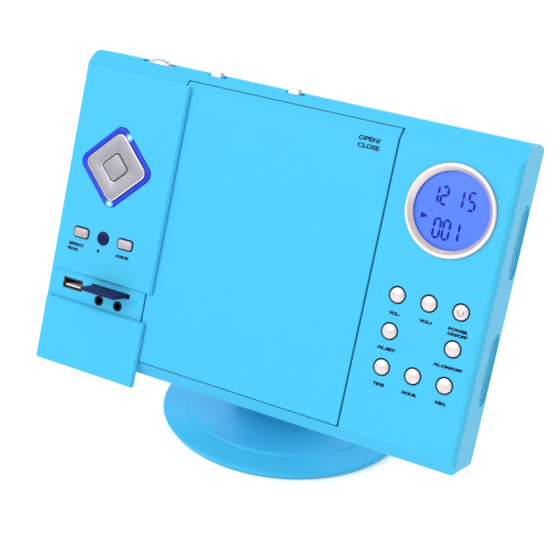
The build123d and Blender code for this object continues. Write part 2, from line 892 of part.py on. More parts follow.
def damper_screws():
    """The screws of the four bushes."""
    seat = chassis_z - chassis_skin
    one = screw(3.4, 1.2, 1.0, chassis_skin + damper_height + 1.2)
    return Compound(children=[Pos(x, y, seat) * one for x, y in damper_places()])


def sled_left():
    """The sled's left edge at the start of its travel."""
    return disc_x + sled_start


def gear_centre():
    """The drive gear's axis, below the rack and in mesh with it."""
    pitch_line = disc_y - sled_height / 2 - rack_base - rack_module
    return (gear_x, pitch_line - small_gear_radius)


def pinion_centre():
    """The motor pinion's axis, down and left of the drive gear and in mesh with it."""
    reach = (large_gear_radius + pinion_radius) * sqrt(0.5)
    x, y = gear_centre()
    return (x - reach, y - reach)


def gear_outline(teeth, module, phase):
    """A spur gear's outline, with straight sided teeth thinned by half the backlash."""
    pitch = teeth * module / 2
    root = pitch - 1.2 * module
    tip = pitch + module
    tooth = pi * module / 2 - backlash
    slope = tan(radians(20))
    points = []
    for i in range(teeth):
        middle = phase + 2 * pi * i / teeth
        for radius, side in [(root, -1), (tip, -1), (tip, 1), (root, 1)]:
            half = tooth / 2 - (radius - pitch) * slope * 0.92
            turn = middle + side * half / radius
            points.append((radius * cos(turn), radius * sin(turn)))
    return make_face(Polyline(*points, close=True))


def sled_gear():
    """The compound gear: a large wheel driven by the motor and a small one that drives the rack."""
    x, y = gear_centre()
    small_top = -sled_top_depth - 1.5
    small_low = small_top - rack_thickness - 2
    large_low = small_low - gear_thickness
    small_teeth = gear_outline(small_gear_teeth, rack_module, pi / 2)
    large_teeth = gear_outline(large_gear_teeth, gear_module, radians(225))
    small = Pos(0, 0, small_low) * extrude(small_teeth, small_top - small_low)
    large = Pos(0, 0, large_low) * extrude(large_teeth, gear_thickness)
    gear = small + large
    gear -= post(0, 0, gear_post_radius + running_gap, large_low - 1, small_top + 1)
    return Pos(x, y, 0) * gear


def sled_motor():
    """The small motor that turns the pinion."""
    x, y = pinion_centre()
    top = chassis_z - chassis_skin
    can = post(x, y, sled_motor_radius, top - sled_motor_length, top)
    can = chamfer(can.edges(), 0.4)
    return can + post(x, y, 0.5, gear_low() - 0.6, top - 1)


def gear_low():
    """The height of the underside of the large gear."""
    return -sled_top_depth - 1.5 - rack_thickness - 2 - gear_thickness


def motor_pinion():
    """The pinion pressed on the motor's shaft, with one tooth space towards the large gear."""
    x, y = pinion_centre()
    phase = radians(45) + pi / pinion_teeth
    outline = gear_outline(pinion_teeth, gear_module, phase)
    gear = Pos(0, 0, gear_low() - 0.3) * extrude(outline, gear_thickness + 0.6)
    gear -= post(0, 0, 0.5 + running_gap, -60, 0)
    return Pos(x, y, 0) * gear


def mech_chassis():
    """The drive's frame: a skin with a rim, windows, rod lugs and the gear's post."""
    left = disc_x - chassis_left
    right = disc_x + chassis_right
    high = disc_y + chassis_above
    low = disc_y - chassis_below
    under = chassis_z - chassis_skin
    frame = block(left, right, low, high, under, chassis_z, 4)
    rim = block(left, right, low, high, under - chassis_rim, under, 4)
    rim -= block(left + 1.8, right - 1.8, low + 1.8, high - 1.8, under - 20, under + 1, 2.5)
    frame += rim
    frame -= post(disc_x, disc_y, 4.5, -40, 0)
    window_left = sled_left() - 0.6
    window_right = sled_left() + sled_width + sled_travel + 0.6
    frame -= block(window_left, window_right, disc_y - 11, disc_y + 11, under - 1, 0, 2)
    for y in [disc_y - rod_offset, disc_y + rod_offset]:
        for x in [window_left - 1.4, window_right + 0.1]:
            frame += block(x, x + 1.3, y - rod_lug, y + rod_lug, -rod_depth - rod_lug, under + 0.5)
        frame -= rod_along("x", disc_x + 40, y, -rod_depth, rod_radius, 90) & block(
            window_left - 1.5, window_right + 1.5, low, high, -40, under
        )
    x, y = gear_centre()
    frame += post(x, y, gear_post_radius, gear_low() - 0.6, under + 0.5)
    frame += post(x, y, gear_post_radius + 1.2, -sled_top_depth - 1.2, under + 0.5)
    for x, y in damper_places():
        frame -= post(x, y, 1.0 + seat_gap, under - 1, 0)
    return frame


def guide_rods():
    """The two rods that the sled slides on."""
    left = sled_left() - 2.0
    right = sled_left() + sled_width + sled_travel + 2.0
    rods = []
    for y in [disc_y - rod_offset, disc_y + rod_offset]:
        rods.append(rod_along("x", (left + right) / 2, y, -rod_depth, rod_radius, right - left))
    return Compound(children=rods)


def pickup_sled():
    """The sled that carries the lens, with bores for its rods and a rack on its side."""
    left = sled_left()
    right = left + sled_width
    top = -sled_top_depth
    low = disc_y - sled_height / 2
    high = disc_y + sled_height / 2
    body = block(left, right, low, high, top - sled_thickness, top, 1.5)
    lens_x = left + lens_from_sled_edge
    tower_top = -bay_floor_depth - bay_skin - 0.3
    tower = block(lens_x - 8, lens_x + 8, disc_y - 8.5, disc_y + 8.5, top - 1, tower_top, 2)
    body += tower
    body -= block(lens_x - 5.5, lens_x + 5.5, disc_y - 6, disc_y + 6, top + 1, 0, 1)
    for y in [disc_y - rod_offset, disc_y + rod_offset]:
        bore = rod_radius + running_gap
        body -= rod_along("x", left + sled_width / 2, y, -rod_depth, bore, 2 * sled_width)
    rack_top = top - 2.5
    rack_left = gear_x - sled_travel - 4
    root_relief = 0.2 * rack_module
    body += block(rack_left, right, low - rack_base + root_relief, low, rack_top - rack_thickness, rack_top)
    pitch = pi * rack_module
    first = gear_x - pitch / 2
    count_left = int((first - rack_left) / pitch)
    count_right = 3
    tip = 1.0 * rack_module
    slope = tan(radians(20))
    root_half = (pitch / 2 - backlash) / 2 + slope * rack_module
    tip_half = (pitch / 2 - backlash) / 2 - slope * rack_module
    teeth = Sketch()
    for i in range(-count_left, count_right):
        x = first + i * pitch
        base = low - rack_base
        corners = [
            (x - root_half, base + root_relief + 0.05),
            (x + root_half, base + root_relief + 0.05),
            (x + tip_half, base - rack_module - tip),
            (x - tip_half, base - rack_module - tip),
        ]
        teeth += make_face(Polyline(*corners, close=True))
    return body + Pos(0, 0, rack_top - rack_thickness) * extrude(teeth, rack_thickness)


def objective_lens():
    """The small lens and its holder, which float on springs in the sled."""
    x = sled_left() + lens_from_sled_edge
    holder_top = -bay_floor_depth - bay_skin - 0.6
    holder_low = -sled_top_depth + 1 + lens_float + 0.6
    holder = block(x - 4.6, x + 4.6, disc_y - 5, disc_y + 5, holder_low, holder_top, 1)
    barrel = post(x, disc_y, lens_radius + 0.6, -sled_top_depth + 3, -lens_top_depth - 0.4)
    dome = Pos(x, disc_y, -lens_top_depth - 3.4) * Sphere(lens_radius)
    dome &= block(x - 6, x + 6, disc_y - 6, disc_y + 6, -lens_top_depth - 2, 0)
    return holder + barrel + dome


def spindle_motor():
    """The motor of the turntable with its spindle."""
    top = chassis_z - chassis_skin
    can = post(disc_x, disc_y, motor_radius, top - motor_length, top)
    can = fillet(can.faces().sort_by(Axis.Z)[0].edges(), 1.2)
    boss = post(disc_x, disc_y, 3.5, top - 0.5, chassis_z)
    return can + boss + post(disc_x, disc_y, spindle_radius, top - 1, -disc_seat_depth)


def turntable():
    """The platter that the disc sits on, with a hub that has three sprung claws."""
    seat = -disc_seat_depth
    plate = post(0, 0, turntable_radius, seat - turntable_thickness, seat)
    groove = post(0, 0, turntable_radius - 3.2, seat - 0.5, seat + 1)
    plate -= groove - post(0, 0, hub_radius + 1.5, seat - 1, seat + 1)
    hub = post(0, 0, hub_radius, seat - 0.2, seat + hub_height)
    hub = chamfer(hub.faces().sort_by(Axis.Z)[-1].edges(), 0.8)
    sleeve = post(0, 0, 3.0, chassis_z + 0.4, seat)
    table = plate + hub + sleeve
    for i in range(3):
        cut = block(2.2, hub_radius + 1, -1.5, 1.5, seat + 0.4, seat + hub_height + 1)
        claw = block(3.0, hub_radius - 0.1, -1.0, 1.0, seat - 0.1, seat + hub_height - 0.5)
        table -= Rot(0, 0, 120 * i) * cut
        table += Rot(0, 0, 120 * i) * claw
    table -= post(0, 0, spindle_radius + running_gap, chassis_z - 1, seat + 0.5)
    return Pos(disc_x, disc_y, 0) * table


# Ports


def usb_outline(grow, z0, z1):
    """The USB socket's outline, grown all round, between two depths."""
    wide = usb_width / 2 + grow
    high = usb_height / 2 + grow
    return block(usb_x - wide, usb_x + wide, usb_y - high, usb_y + high, z0, z1, 0.6)


def usb_socket():
    """The folded metal shell of the USB socket."""
    shell = usb_outline(0, -usb_depth, 0.2)
    top = port_board_top()
    for side in [-1, 1]:
        edge = usb_x + side * usb_width / 2
        reach = edge + side * usb_tab
        shell += block(min(edge, reach) - 0.1, max(edge, reach) + 0.1, top, top + usb_wall, -10, -4)
    return shell - usb_outline(-usb_wall, -usb_depth + usb_wall, 1)


def usb_tongue():
    """The plastic tongue inside the USB socket."""
    wide = usb_width / 2 - usb_wall - 0.7
    low = usb_y - usb_height / 2 + usb_wall + 0.7
    return block(usb_x - wide, usb_x + wide, low, low + tongue_thickness, -usb_depth + usb_wall, -0.8)


def card_socket():
    """The metal case that holds the memory card, on the port board."""
    half = card_width / 2 + 1.3
    depth = card_length + 1.5
    high = card_y + card_thickness / 2 + 1.2
    case = block(card_x - half, card_x + half, port_board_top(), high, -depth, -wall)
    gap = card_thickness / 2 + slide_gap
    wide = card_width / 2 + slide_gap
    return case - block(card_x - wide, card_x + wide, card_y - gap, card_y + gap, -depth + 0.8, 0)


def memory_card():
    """A full size memory card, part way into its slot, with one cut corner."""
    inner = card_out - card_length
    half = card_width / 2
    flat = Pos(0, (inner + card_out) / 2) * Rectangle(card_width, card_length)
    corner = [(half - card_corner, inner), (half, inner), (half, inner + card_corner)]
    cut = make_face(Polyline(*corner, close=True))
    card = extrude(Plane.XZ * (flat - cut), card_thickness / 2, both=True)
    return Pos(card_x, card_y, 0) * card


def jack(x, y):
    """A round socket on a square body, hung under the port board."""
    half = jack_body / 2
    top = port_board_top() - board_thickness
    body = block(x - half, x + half, y - half + 0.6, top, -jack_length, -wall)
    body += post(x, y, jack_nose_radius, -wall - 0.5, 0.2)
    return body - post(x, y, jack_bore_radius, -jack_length + 1, 1)


def port_board_top():
    """The port board's upper face, which carries the card socket and the tabs of the USB socket."""
    return card_y - card_thickness / 2 - slide_gap - card_socket_floor


def port_board():
    """The board square to the face that carries the sockets."""
    top = port_board_top()
    left = usb_x - usb_width / 2 - usb_tab - 2
    right = card_x + card_width / 2 + 2.5
    board = block(left, right, top - board_thickness, top, -port_board_reach, -wall)
    return board - usb_outline(seat_gap, -usb_depth - seat_gap, 1)


# Right side


def display_bezel():
    """The ring round the display: a rounded crown with a skirt that seats in the front wall."""
    mean = (bezel_radius + bezel_inner_radius) / 2
    crown = bezel_radius - bezel_inner_radius
    outer = bezel_radius - bezel_skirt
    low = -wall - 1.5
    section = make_face(
        [
            Line((bezel_inner_radius, low), (bezel_inner_radius, 0.2)),
            ThreePointArc((bezel_inner_radius, 0.2), (mean + 0.1 * crown, bezel_proud), (bezel_radius, 0)),
            Polyline((bezel_radius, 0), (outer, 0), (outer, low), (bezel_inner_radius, low)),
        ]
    )
    ring = revolve(Plane.XZ * section, Axis.Z)
    return Pos(display_x, display_y, 0) * ring


def display_lens():
    """The clear window inside the display ring."""
    radius = bezel_inner_radius - running_gap
    return post(display_x, display_y, radius, -lens_recess - lens_thickness, -lens_recess)


def display_panel():
    """The liquid crystal cell and its lit backing behind the lens."""
    back = -lens_recess - lens_thickness
    wide = bezel_inner_radius + 1.2
    cell = post(0, 0, wide, -board_depth, -wall - 1.7)
    cell += post(0, 0, bezel_inner_radius - 0.1, -wall - 1.7, back - 0.1)
    return Pos(display_x, display_y, 0) * cell


def round_button(x, y):
    """A domed push button with a flange behind the wall and a stem to its switch."""
    cap = post(0, 0, button_radius, -wall - 0.9, button_proud - button_dome)
    rise = button_dome
    ball = (button_radius**2 + rise**2) / (2 * rise)
    dome = Pos(0, 0, button_proud - ball) * Sphere(ball)
    dome &= post(0, 0, button_radius, button_proud - button_dome - 0.4, button_proud + 1)
    flange = post(0, 0, button_radius + button_flange, -wall - 1.0, -wall - 0.3)
    stem = post(0, 0, button_stem_radius, switch_top() + button_travel + 0.05, -wall)
    return Pos(x, y, 0) * (cap + dome + flange + stem)


# Boards


def tact_switch(x, y):
    """A square switch with a round plunger, on a board whose face is at the board depth."""
    base = -board_depth
    half = switch_side / 2
    case = block(x - half, x + half, y - half, y + half, base - 0.2, base + switch_height)
    return case + post(x, y, plunger_radius, base, base + switch_height + plunger_height)


def button_board_left():
    """The left edge of the board behind the round buttons."""
    return opening_right + bay_wall + bay_ear + 1.5


def key_board_top():
    """The upper edge of the board behind the left panel."""
    return pad_y + 30


def key_board_bottom():
    """The lower edge of the board behind the left panel."""
    return key_y - 12


def board_blank(x0, x1, y0, y1):
    """A bare board at the board depth."""
    return block(x0, x1, y0, y1, -board_depth - board_thickness, -board_depth, 1)


def board_screw_hole(x, y):
    """A clearance hole through a board for one small screw."""
    return post(x, y, small_screw_shank + seat_gap, -board_depth - board_thickness - 1, -board_depth + 1)


def display_board():
    """The board behind the display and the round buttons, with their eight switches."""
    board = board_blank(button_board_left(), right_edge - wall - 6, bottom_edge + 16, top_edge - 14)
    for x, y in button_places():
        board += tact_switch(x, y)
    for x, y in board_screw_places():
        board -= board_screw_hole(x, y)
    return board


def key_board():
    """The board behind the left panel, with the switches of the pad and the keys, and the receiver."""
    right = opening_left - bay_wall - bay_ear - 1.5
    board = board_blank(left_edge + wall + 6, right, key_board_bottom(), key_board_top())
    pad_switches = [(left_controls_x + x, pad_y + y) for x, y in pad_switch_offsets()]
    for x, y in key_places() + pad_switches + [(left_controls_x, pad_y)]:
        board += tact_switch(x, y)
    board += post(left_controls_x, key_y, 2.2, -board_depth - 0.2, -wall - 1.2)
    for x, y in board_screw_places():
        board -= board_screw_hole(x, y)
    return board


# Controls on top


def volume_wheel():
    """The thumbwheel, with a grooved rim and a hub bored for its shaft."""
    rim = extrude(Circle(wheel_radius), wheel_thickness / 2, both=True)
    rim = chamfer(rim.edges(), 0.5)
    for i in range(wheel_grooves):
        groove = Pos(wheel_radius + 0.25, 0, 0) * Cylinder(0.6, wheel_thickness + 1)
        rim -= Rot(0, 0, 360 * i / wheel_grooves) * groove
    rim -= Cylinder(2.0 + running_gap, wheel_thickness + 1)
    return Pos(wheel_x, top_edge + wheel_proud - wheel_radius, -wheel_depth) * rim


def wheel_control():
    """The control that the thumbwheel turns: its case, hung from the top wall, and its shaft."""
    y = top_edge + wheel_proud - wheel_radius
    back = -wheel_depth - wheel_thickness / 2 - slide_gap
    case = block(wheel_x - 6, wheel_x + 6, y - 7.5, top_edge - wall, back - 3, back)
    return case + post(wheel_x, y, 2.0, back - 1, -wheel_depth + wheel_thickness / 2)


def switch_knob(x):
    """A slide switch's cap, at the left end of its slot, on a carriage that slides under the top wall."""
    left = x - (knob_length + knob_travel) / 2
    right = left + knob_length
    half = knob_width / 2
    under = top_edge - wall - slide_gap
    back = -top_switch_depth - half
    cap = block(left, right, under - 0.3, top_edge + knob_proud, back, back + knob_width)
    cap = fillet(cap.faces().sort_by(Axis.Y)[-1].edges(), 1.0)
    front = -top_switch_depth + half - 1.4
    carriage = block(left, right, under - carriage_thickness, under, -carriage_back, front)
    middle = left + knob_length / 2
    low = under - carriage_thickness - 3.2
    behind = -switch_body_depth
    stem = block(middle - 1.6, middle + 1.6, low, under - 0.5, behind - 1, behind + 1)
    return cap + carriage + stem


def slide_switches():
    """The cases of the two slide switches, hung from the top wall behind the disc bay."""
    cases = []
    top = top_edge - wall - slide_gap - carriage_thickness - slide_gap
    near = -switch_body_depth + switch_body_width / 2
    far = -switch_body_depth - switch_body_width / 2
    for x in [top_switch_left_x, top_switch_right_x]:
        long = switch_body_length / 2
        reach = (knob_travel + 3.2) / 2 + slide_gap
        case = block(x - long, x + long, top - switch_body_height, top, far, near)
        behind = -switch_body_depth
        case -= block(x - reach, x + reach, top - 3.6, top + 1, behind - 1.3, behind + 1.3)
        clear = (knob_length + knob_travel) / 2 + slide_gap
        case += block(x - long, x - clear, top - 1, top_edge - wall, far, near)
        case += block(x + clear, x + long, top - 1, top_edge - wall, far, near)
        cases.append(case)
    return Compound(children=cases)


# Speakers and the power inlet


def speaker(side):
    """A slim speaker against one side wall: a racetrack frame, its basket and its magnet."""
    frame = extrude(SlotOverall(speaker_length, speaker_width, 90), 2.0)
    frame -= Pos(0, 0, -0.1) * extrude(SlotOverall(speaker_length - 5, speaker_width - 5, 90), 1.6)
    cone = SlotOverall(speaker_length - 3, speaker_width - 3, 90)
    basket = Pos(0, 0, 2) * extrude(cone, speaker_depth - 6, taper=25)
    magnet = post(0, 0, 7, speaker_depth - 5, speaker_depth)
    unit = Rot(0, -90 * side, 0) * (frame + basket + magnet)
    return Pos(side * (right_edge - wall), speaker_high, -speaker_behind_face) * unit


def power_inlet():
    """The round socket for the power plug, with its centre pin."""
    body = post(0, 0, inlet_radius + 1.2, rear_back - 0.2, rear_back + inlet_depth)
    body -= post(0, 0, inlet_radius, rear_back - 1, rear_back + inlet_depth - 1.5)
    body += post(0, 0, inlet_pin_radius, rear_back + 1.5, rear_back + inlet_depth - 1)
    body += post(0, 0, inlet_radius + 2.4, rear_back + wall, rear_back + wall + 1.2) - post(
        0, 0, inlet_radius, -80, 0
    )
    return Pos(inlet_x, inlet_y, 0) * body


# Foot and neck, drawn in the row frame


def foot_outline(inset):
    """The foot's upper outline from rim to axis, lowered by inset: its corners and the crown's arc."""
    rim_top = foot_lift + foot_rim_height
    step_low = foot_lift + step_height
    step_high = step_low + step_rise
    corners = [
        (foot_bottom_radius, foot_lift),
        (foot_radius, rim_top),
        (foot_radius - 1.0, rim_top + 1.0),
        (step_radius + 1.0, step_low),
        (step_radius, step_low + 0.3),
        (step_radius - 0.7, step_high - 0.3),
        (step_radius - 1.4, step_high),
    ]
    points = [(r - inset, z - inset) for r, z in corners]
    if inset:
        points[0] = (foot_bottom_radius - inset, foot_lift)
    r, z = points[-1]
    top = foot_crown - inset
    ball = (r * r + (top - z) ** 2) / (2 * (top - z))
    half_way = (r / 2, top - ball + sqrt(ball * ball - r * r / 4))
    return points, ThreePointArc(points[-1], half_way, (0, top))


def foot_form():
    """The foot as a full solid, for the pieces that stand on it."""
    points, crown = foot_outline(0)
    rim = Polyline((0, 0), (foot_bottom_radius, 0), *points)
    section = make_face([rim, crown, Line((0, foot_crown), (0, 0))])
    return revolve(Plane.XZ * section, Axis.Z)


def base_shell():
    """The round moulded foot, with posts for the screws that hold the neck."""
    points, crown = foot_outline(0)
    inner_points, inner_crown = foot_outline(foot_wall)
    section = make_face(
        [
            Polyline(*points),
            crown,
            Line((0, foot_crown), (0, foot_crown - foot_wall)),
            inner_crown,
            Polyline(*inner_points),
            Line(inner_points[0], points[0]),
        ]
    )
    shell = revolve(Plane.XZ * section, Axis.Z)
    for x, y in foot_screw_places():
        shell += post(x, y, 4.0, pad_thickness + weight_thickness, foot_crown - foot_wall)
        shell -= post(x, y, screw_radius + seat_gap, 0, 40)
    return shell


def foot_screw_places():
    """Three screws that hold the neck to the foot from below."""
    return [(-18, 24), (18, 24), (0, -7)]


def base_weight():
    """The steel plate that keeps the foot down."""
    plate = post(0, 0, weight_radius, pad_thickness, pad_thickness + weight_thickness)
    for x, y in foot_screw_places():
        plate -= post(x, y, screw_radius + seat_gap, 0, 20)
        plate -= post(x, y, screw_head_radius + 0.5, 0, foot_screw_seat)
    return plate


def base_pad():
    """The rubber sheet under the foot."""
    return chamfer(post(0, 0, pad_radius, 0, pad_thickness).edges(), 0.3)


def body_point(y, z):
    """Where a point of the body's middle plane lies in the row frame, as (Y, Z)."""
    turn = radians(lean_angle)
    along = -face_ahead_of_foot + y * sin(turn) - z * cos(turn)
    up = face_centre_height + y * cos(turn) + z * sin(turn)
    return (along, up)


def on_neck_back(edge):
    """Whether an edge runs down the back of the neck or over its top."""
    middle = edge.center()
    runs_down = abs(middle.X) > 1 and middle.Z > foot_crown + 3 and middle.Y > -5
    is_top = abs(middle.X) < 1 and middle.Z > foot_crown + 60 and middle.Y > 0
    return runs_down or is_top


def stand_neck():
    """The arm that rises from the foot and bends forward to the back of the body."""
    base = foot_crown - 3
    top_front = body_point(neck_top_y, rear_back)
    low_front = body_point(neck_low_y, rear_back)
    top_back = body_point(neck_top_y - 3, rear_back - neck_thickness)
    back_bend = (neck_back * 0.42, (base + top_back[1]) / 2 + 4)
    outline = make_face(
        [
            Line((neck_front, base), (neck_front, base + 4)),
            ThreePointArc((neck_front, base + 4), (neck_front - 1.5, (base + low_front[1]) / 2), low_front),
            Line(low_front, top_front),
            Line(top_front, top_back),
            ThreePointArc(top_back, back_bend, (neck_back, base + 2)),
            Polyline((neck_back, base + 2), (neck_back, base), (neck_front, base)),
        ]
    )
    side_form = extrude(Plane.YZ * outline, neck_width_foot, both=True)
    wide = neck_width_foot / 2
    narrow = neck_width_top / 2
    high = top_front[1] + 10
    front_outline = make_face(
        [
            Line((-wide, base - 1), (wide, base - 1)),
            ThreePointArc((wide, base - 1), (narrow + 1.5, base + 0.4 * (high - base)), (narrow, high)),
            Line((narrow, high), (-narrow, high)),
            ThreePointArc((-narrow, high), (-narrow - 1.5, base + 0.4 * (high - base)), (-wide, base - 1)),
        ]
    )
    front_form = extrude(Plane.XZ * front_outline, 200, both=True)
    neck = side_form & front_form
    neck = fillet(neck.edges().filter_by(on_neck_back), neck_edge_round)
    neck -= foot_form()
    hollow = offset(outline, -neck_skin)
    hollow_form = extrude(Plane.YZ * hollow, neck_hollow_width / 2, both=True)
    neck -= hollow_form - Pos(0, 0, foot_screw_seat + neck_screw_length + 3 - 200) * Box(400, 400, 400)
    mouth = block(-8, 8, neck_low_y + 8, neck_top_y - 8, rear_back - 8, rear_back + 1)
    neck -= body_place * mouth
    for x, y in foot_screw_places():
        neck -= post(x, y, screw_radius, 0, foot_screw_seat + neck_screw_length + 1)
    for x, y in neck_screw_places():
        hole = post(x, y, screw_radius + seat_gap, rear_back - neck_plate - 1, rear_back + 1)
        hole += post(x, y, screw_head_radius + 0.5, rear_back - 80, rear_back - neck_plate)
        neck -= body_place * hole
    return neck


def neck_screws():
    """Seven screws of one kind: four into the rear shell and three up through the foot."""
    one = screw(screw_head_radius, screw_head_height, screw_radius, neck_screw_length)
    group = [body_place * Pos(x, y, rear_back - neck_plate) * one for x, y in neck_screw_places()]
    group += [Pos(x, y, foot_screw_seat) * one for x, y in foot_screw_places()]
    return Compound(children=group)


# Write every piece


def main():
    os.makedirs("parts", exist_ok=True)
    leaning = {
        "front_shell": front_shell(),
        "rear_shell": rear_shell(),
        "shell_screws": shell_screws(),
        "inner_screws": inner_screws(),
        "left_panel": left_panel(),
        "light_ring": light_ring(),
        "nav_pad": nav_pad(),
        "play_button": play_button(),
        "ir_window": ir_window(),
        "port_cover": port_cover(),
        "disc_door": disc_door(),
        "hinge_pins": hinge_pins(),
        "touch_latch": touch_latch(),
        "disc_deck": disc_deck(),
        "dampers": dampers(),
        "damper_screws": damper_screws(),
        "mech_chassis": mech_chassis(),
        "guide_rods": guide_rods(),
        "pickup_sled": pickup_sled(),
        "objective_lens": objective_lens(),
        "sled_gear": sled_gear(),
        "sled_motor": sled_motor(),
        "motor_pinion": motor_pinion(),
        "spindle_motor": spindle_motor(),
        "turntable": turntable(),
        "usb_socket": usb_socket(),
        "usb_tongue": usb_tongue(),
        "card_socket": card_socket(),
        "memory_card": memory_card(),
        "display_bezel": display_bezel(),
        "display_lens": display_lens(),
        "display_panel": display_panel(),
        "display_board": display_board(),
        "key_board": key_board(),
        "port_board": port_board(),
        "volume_wheel": volume_wheel(),
        "volume_control": wheel_control(),
        "function_switch": switch_knob(top_switch_left_x),
        "band_switch": switch_knob(top_switch_right_x),
        "slide_switches": slide_switches(),
        "left_speaker": speaker(-1),
        "right_speaker": speaker(1),
        "power_inlet": power_inlet(),
    }
    for name, (x, y) in zip(["repeat_key", "album_key"], key_places()):
        leaning[name] = small_key(x, y)
    for name, (x, y) in zip(["headphone_jack", "line_in_jack"], jack_places()):
        leaning[name] = jack(x, y)
    for number, (x, y) in enumerate(button_places(), start=1):
        leaning[f"button_{number}"] = round_button(x, y)
    standing = {
        "base_shell": base_shell(),
        "base_weight": base_weight(),
        "base_pad": base_pad(),
        "stand_neck": stand_neck(),
        "neck_screws": neck_screws(),
    }
    for name, part in leaning.items():
        export_step(body_place * part, f"parts/{name}.step")
    for name, part in standing.items():
        export_step(part, f"parts/{name}.step")
    print(len(leaning) + len(standing), "pieces written")


main()
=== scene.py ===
# %% [markdown]
# # A tabletop disc player on a round foot
#
# The real object is an upright music player for a desk. A thin sky blue body leans back on a round
# foot. A large door in the middle hides the disc, a raised panel on the left carries a direction pad
# and two keys, and the right side has a round display and eight buttons. This lesson dresses the fixed
# model of that player. Every solid already has its place, so each cell makes one piece or one finish
# and puts it where the model is.

# %% Load the fixed frame
import math
import bmesh
import bpy
from mathutils import Matrix, Vector
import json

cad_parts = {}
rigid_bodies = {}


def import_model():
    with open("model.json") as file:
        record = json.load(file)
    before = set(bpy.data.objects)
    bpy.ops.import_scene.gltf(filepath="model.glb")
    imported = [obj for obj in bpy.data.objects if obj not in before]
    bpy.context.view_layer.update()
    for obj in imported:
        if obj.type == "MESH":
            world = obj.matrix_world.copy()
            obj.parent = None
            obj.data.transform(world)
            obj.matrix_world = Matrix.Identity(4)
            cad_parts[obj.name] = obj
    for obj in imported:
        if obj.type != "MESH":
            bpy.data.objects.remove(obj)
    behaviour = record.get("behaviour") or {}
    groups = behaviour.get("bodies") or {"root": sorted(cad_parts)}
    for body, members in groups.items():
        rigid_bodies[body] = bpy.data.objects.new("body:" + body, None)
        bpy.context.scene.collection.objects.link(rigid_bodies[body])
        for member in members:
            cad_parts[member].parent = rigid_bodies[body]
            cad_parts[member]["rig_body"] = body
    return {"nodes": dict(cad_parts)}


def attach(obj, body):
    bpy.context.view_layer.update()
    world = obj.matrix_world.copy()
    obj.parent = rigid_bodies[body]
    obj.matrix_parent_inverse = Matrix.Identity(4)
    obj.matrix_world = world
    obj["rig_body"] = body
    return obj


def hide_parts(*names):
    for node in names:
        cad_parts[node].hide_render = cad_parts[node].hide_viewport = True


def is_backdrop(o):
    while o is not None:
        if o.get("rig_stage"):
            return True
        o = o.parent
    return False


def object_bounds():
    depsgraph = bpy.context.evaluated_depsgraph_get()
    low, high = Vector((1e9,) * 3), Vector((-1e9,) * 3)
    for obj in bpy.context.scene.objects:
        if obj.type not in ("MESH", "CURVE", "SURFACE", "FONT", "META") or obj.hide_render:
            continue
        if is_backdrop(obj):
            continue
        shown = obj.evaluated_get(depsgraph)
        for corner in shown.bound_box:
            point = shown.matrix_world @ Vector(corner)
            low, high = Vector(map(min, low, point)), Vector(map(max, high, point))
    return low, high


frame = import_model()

nodes = frame["nodes"]
cad_low, cad_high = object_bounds()
print("pieces in the frame:", len(nodes))

# %% [markdown]
# ## A frame that leans with the body
#
# The body leans back by 18.2 degrees, so its own sizes are easiest to write on its face: x to the
# right, y up the face and z out of it, in millimetres, from the middle of the face. One matrix then
# carries every mesh to its place in the room. The other way would be to turn each object, but a
# finished piece keeps its object at the origin, so the turn goes into the mesh.

# %% The leaning frame
mm = 0.001
lean = math.radians(18.2)
face_ahead = 47.8
face_height = 129.0
body_frame = (
    Matrix.Translation((0, -face_ahead * mm, face_height * mm))
    @ Matrix.Rotation(math.radians(90) - lean, 4, "X")
    @ Matrix.Scale(mm, 4)
)
room_frame = Matrix.Scale(mm, 4)
face_out = (body_frame.to_3x3() @ Vector((0, 0, 1))).normalized()
print("the face looks along", [round(v, 3) for v in face_out])


def paint(red, green, blue):
    """A colour as a picture stores it, from 0 to 255, turned into the light values that shaders use."""
    values = []
    for part in (red, green, blue):
        share = part / 255
        values.append(share / 12.92 if share <= 0.04045 else ((share + 0.055) / 1.055) ** 2.4)
    return (*values, 1.0)


# %% [markdown]
# ## The camera
#
# The picture was taken from the right and above with a long lens, and the camera was tilted a little,
# so the player stands slightly turned in the frame. The place and the turn were worked out from the
# corners of the body, which are known in three dimensions. A long lens keeps the sides of the body
# nearly parallel.

# %% Camera
camera_data = bpy.data.cameras.new("camera")
camera_data.lens = 87.48
camera_data.sensor_width = 36.0
camera_data.clip_start = 0.01
camera_data.clip_end = 50.0
camera = bpy.data.objects.new("camera", camera_data)
camera.location = (0.3181, -0.6594, 0.4466)
camera.rotation_euler = [math.radians(a) for a in (64.09147145, -3.17935522, 28.04288205)]
bpy.context.scene.collection.objects.link(camera)
bpy.context.scene.camera = camera
print("camera set, lens", camera_data.lens, "mm")

# %% [markdown]
# ## Floor and studio light
#
# A product picture on white needs a floor that is nearly as bright as the background and still takes a
# faint shadow. Here the floor is white paint, and rays from the camera see a little light added to it.
# The object itself is lit by an even white room and three wide suns, at a level where a colour looks
# about as it is written. More light would wash out the pale parts.

# %% Light Path tricks for a white room
bpy.context.scene.view_settings.view_transform = "Standard"


def direct_rays(tree):
    """A value of 1 for rays of the camera, of mirrors and of glass, and 0 for the light of the room."""
    path = tree.nodes.new("ShaderNodeLightPath")
    seen = path.outputs["Is Camera Ray"]
    for ray in ("Is Transmission Ray", "Is Glossy Ray"):
        either = tree.nodes.new("ShaderNodeMath")
        either.operation = "MAXIMUM"
        tree.links.new(seen, either.inputs[0])
        tree.links.new(path.outputs[ray], either.inputs[1])
        seen = either.outputs[0]
    return seen


def background(tree, strength):
    """A white Background node."""
    made = tree.nodes.new("ShaderNodeBackground")
    made.inputs["Color"].default_value = (1, 1, 1, 1)
    made.inputs["Strength"].default_value = strength
    return made


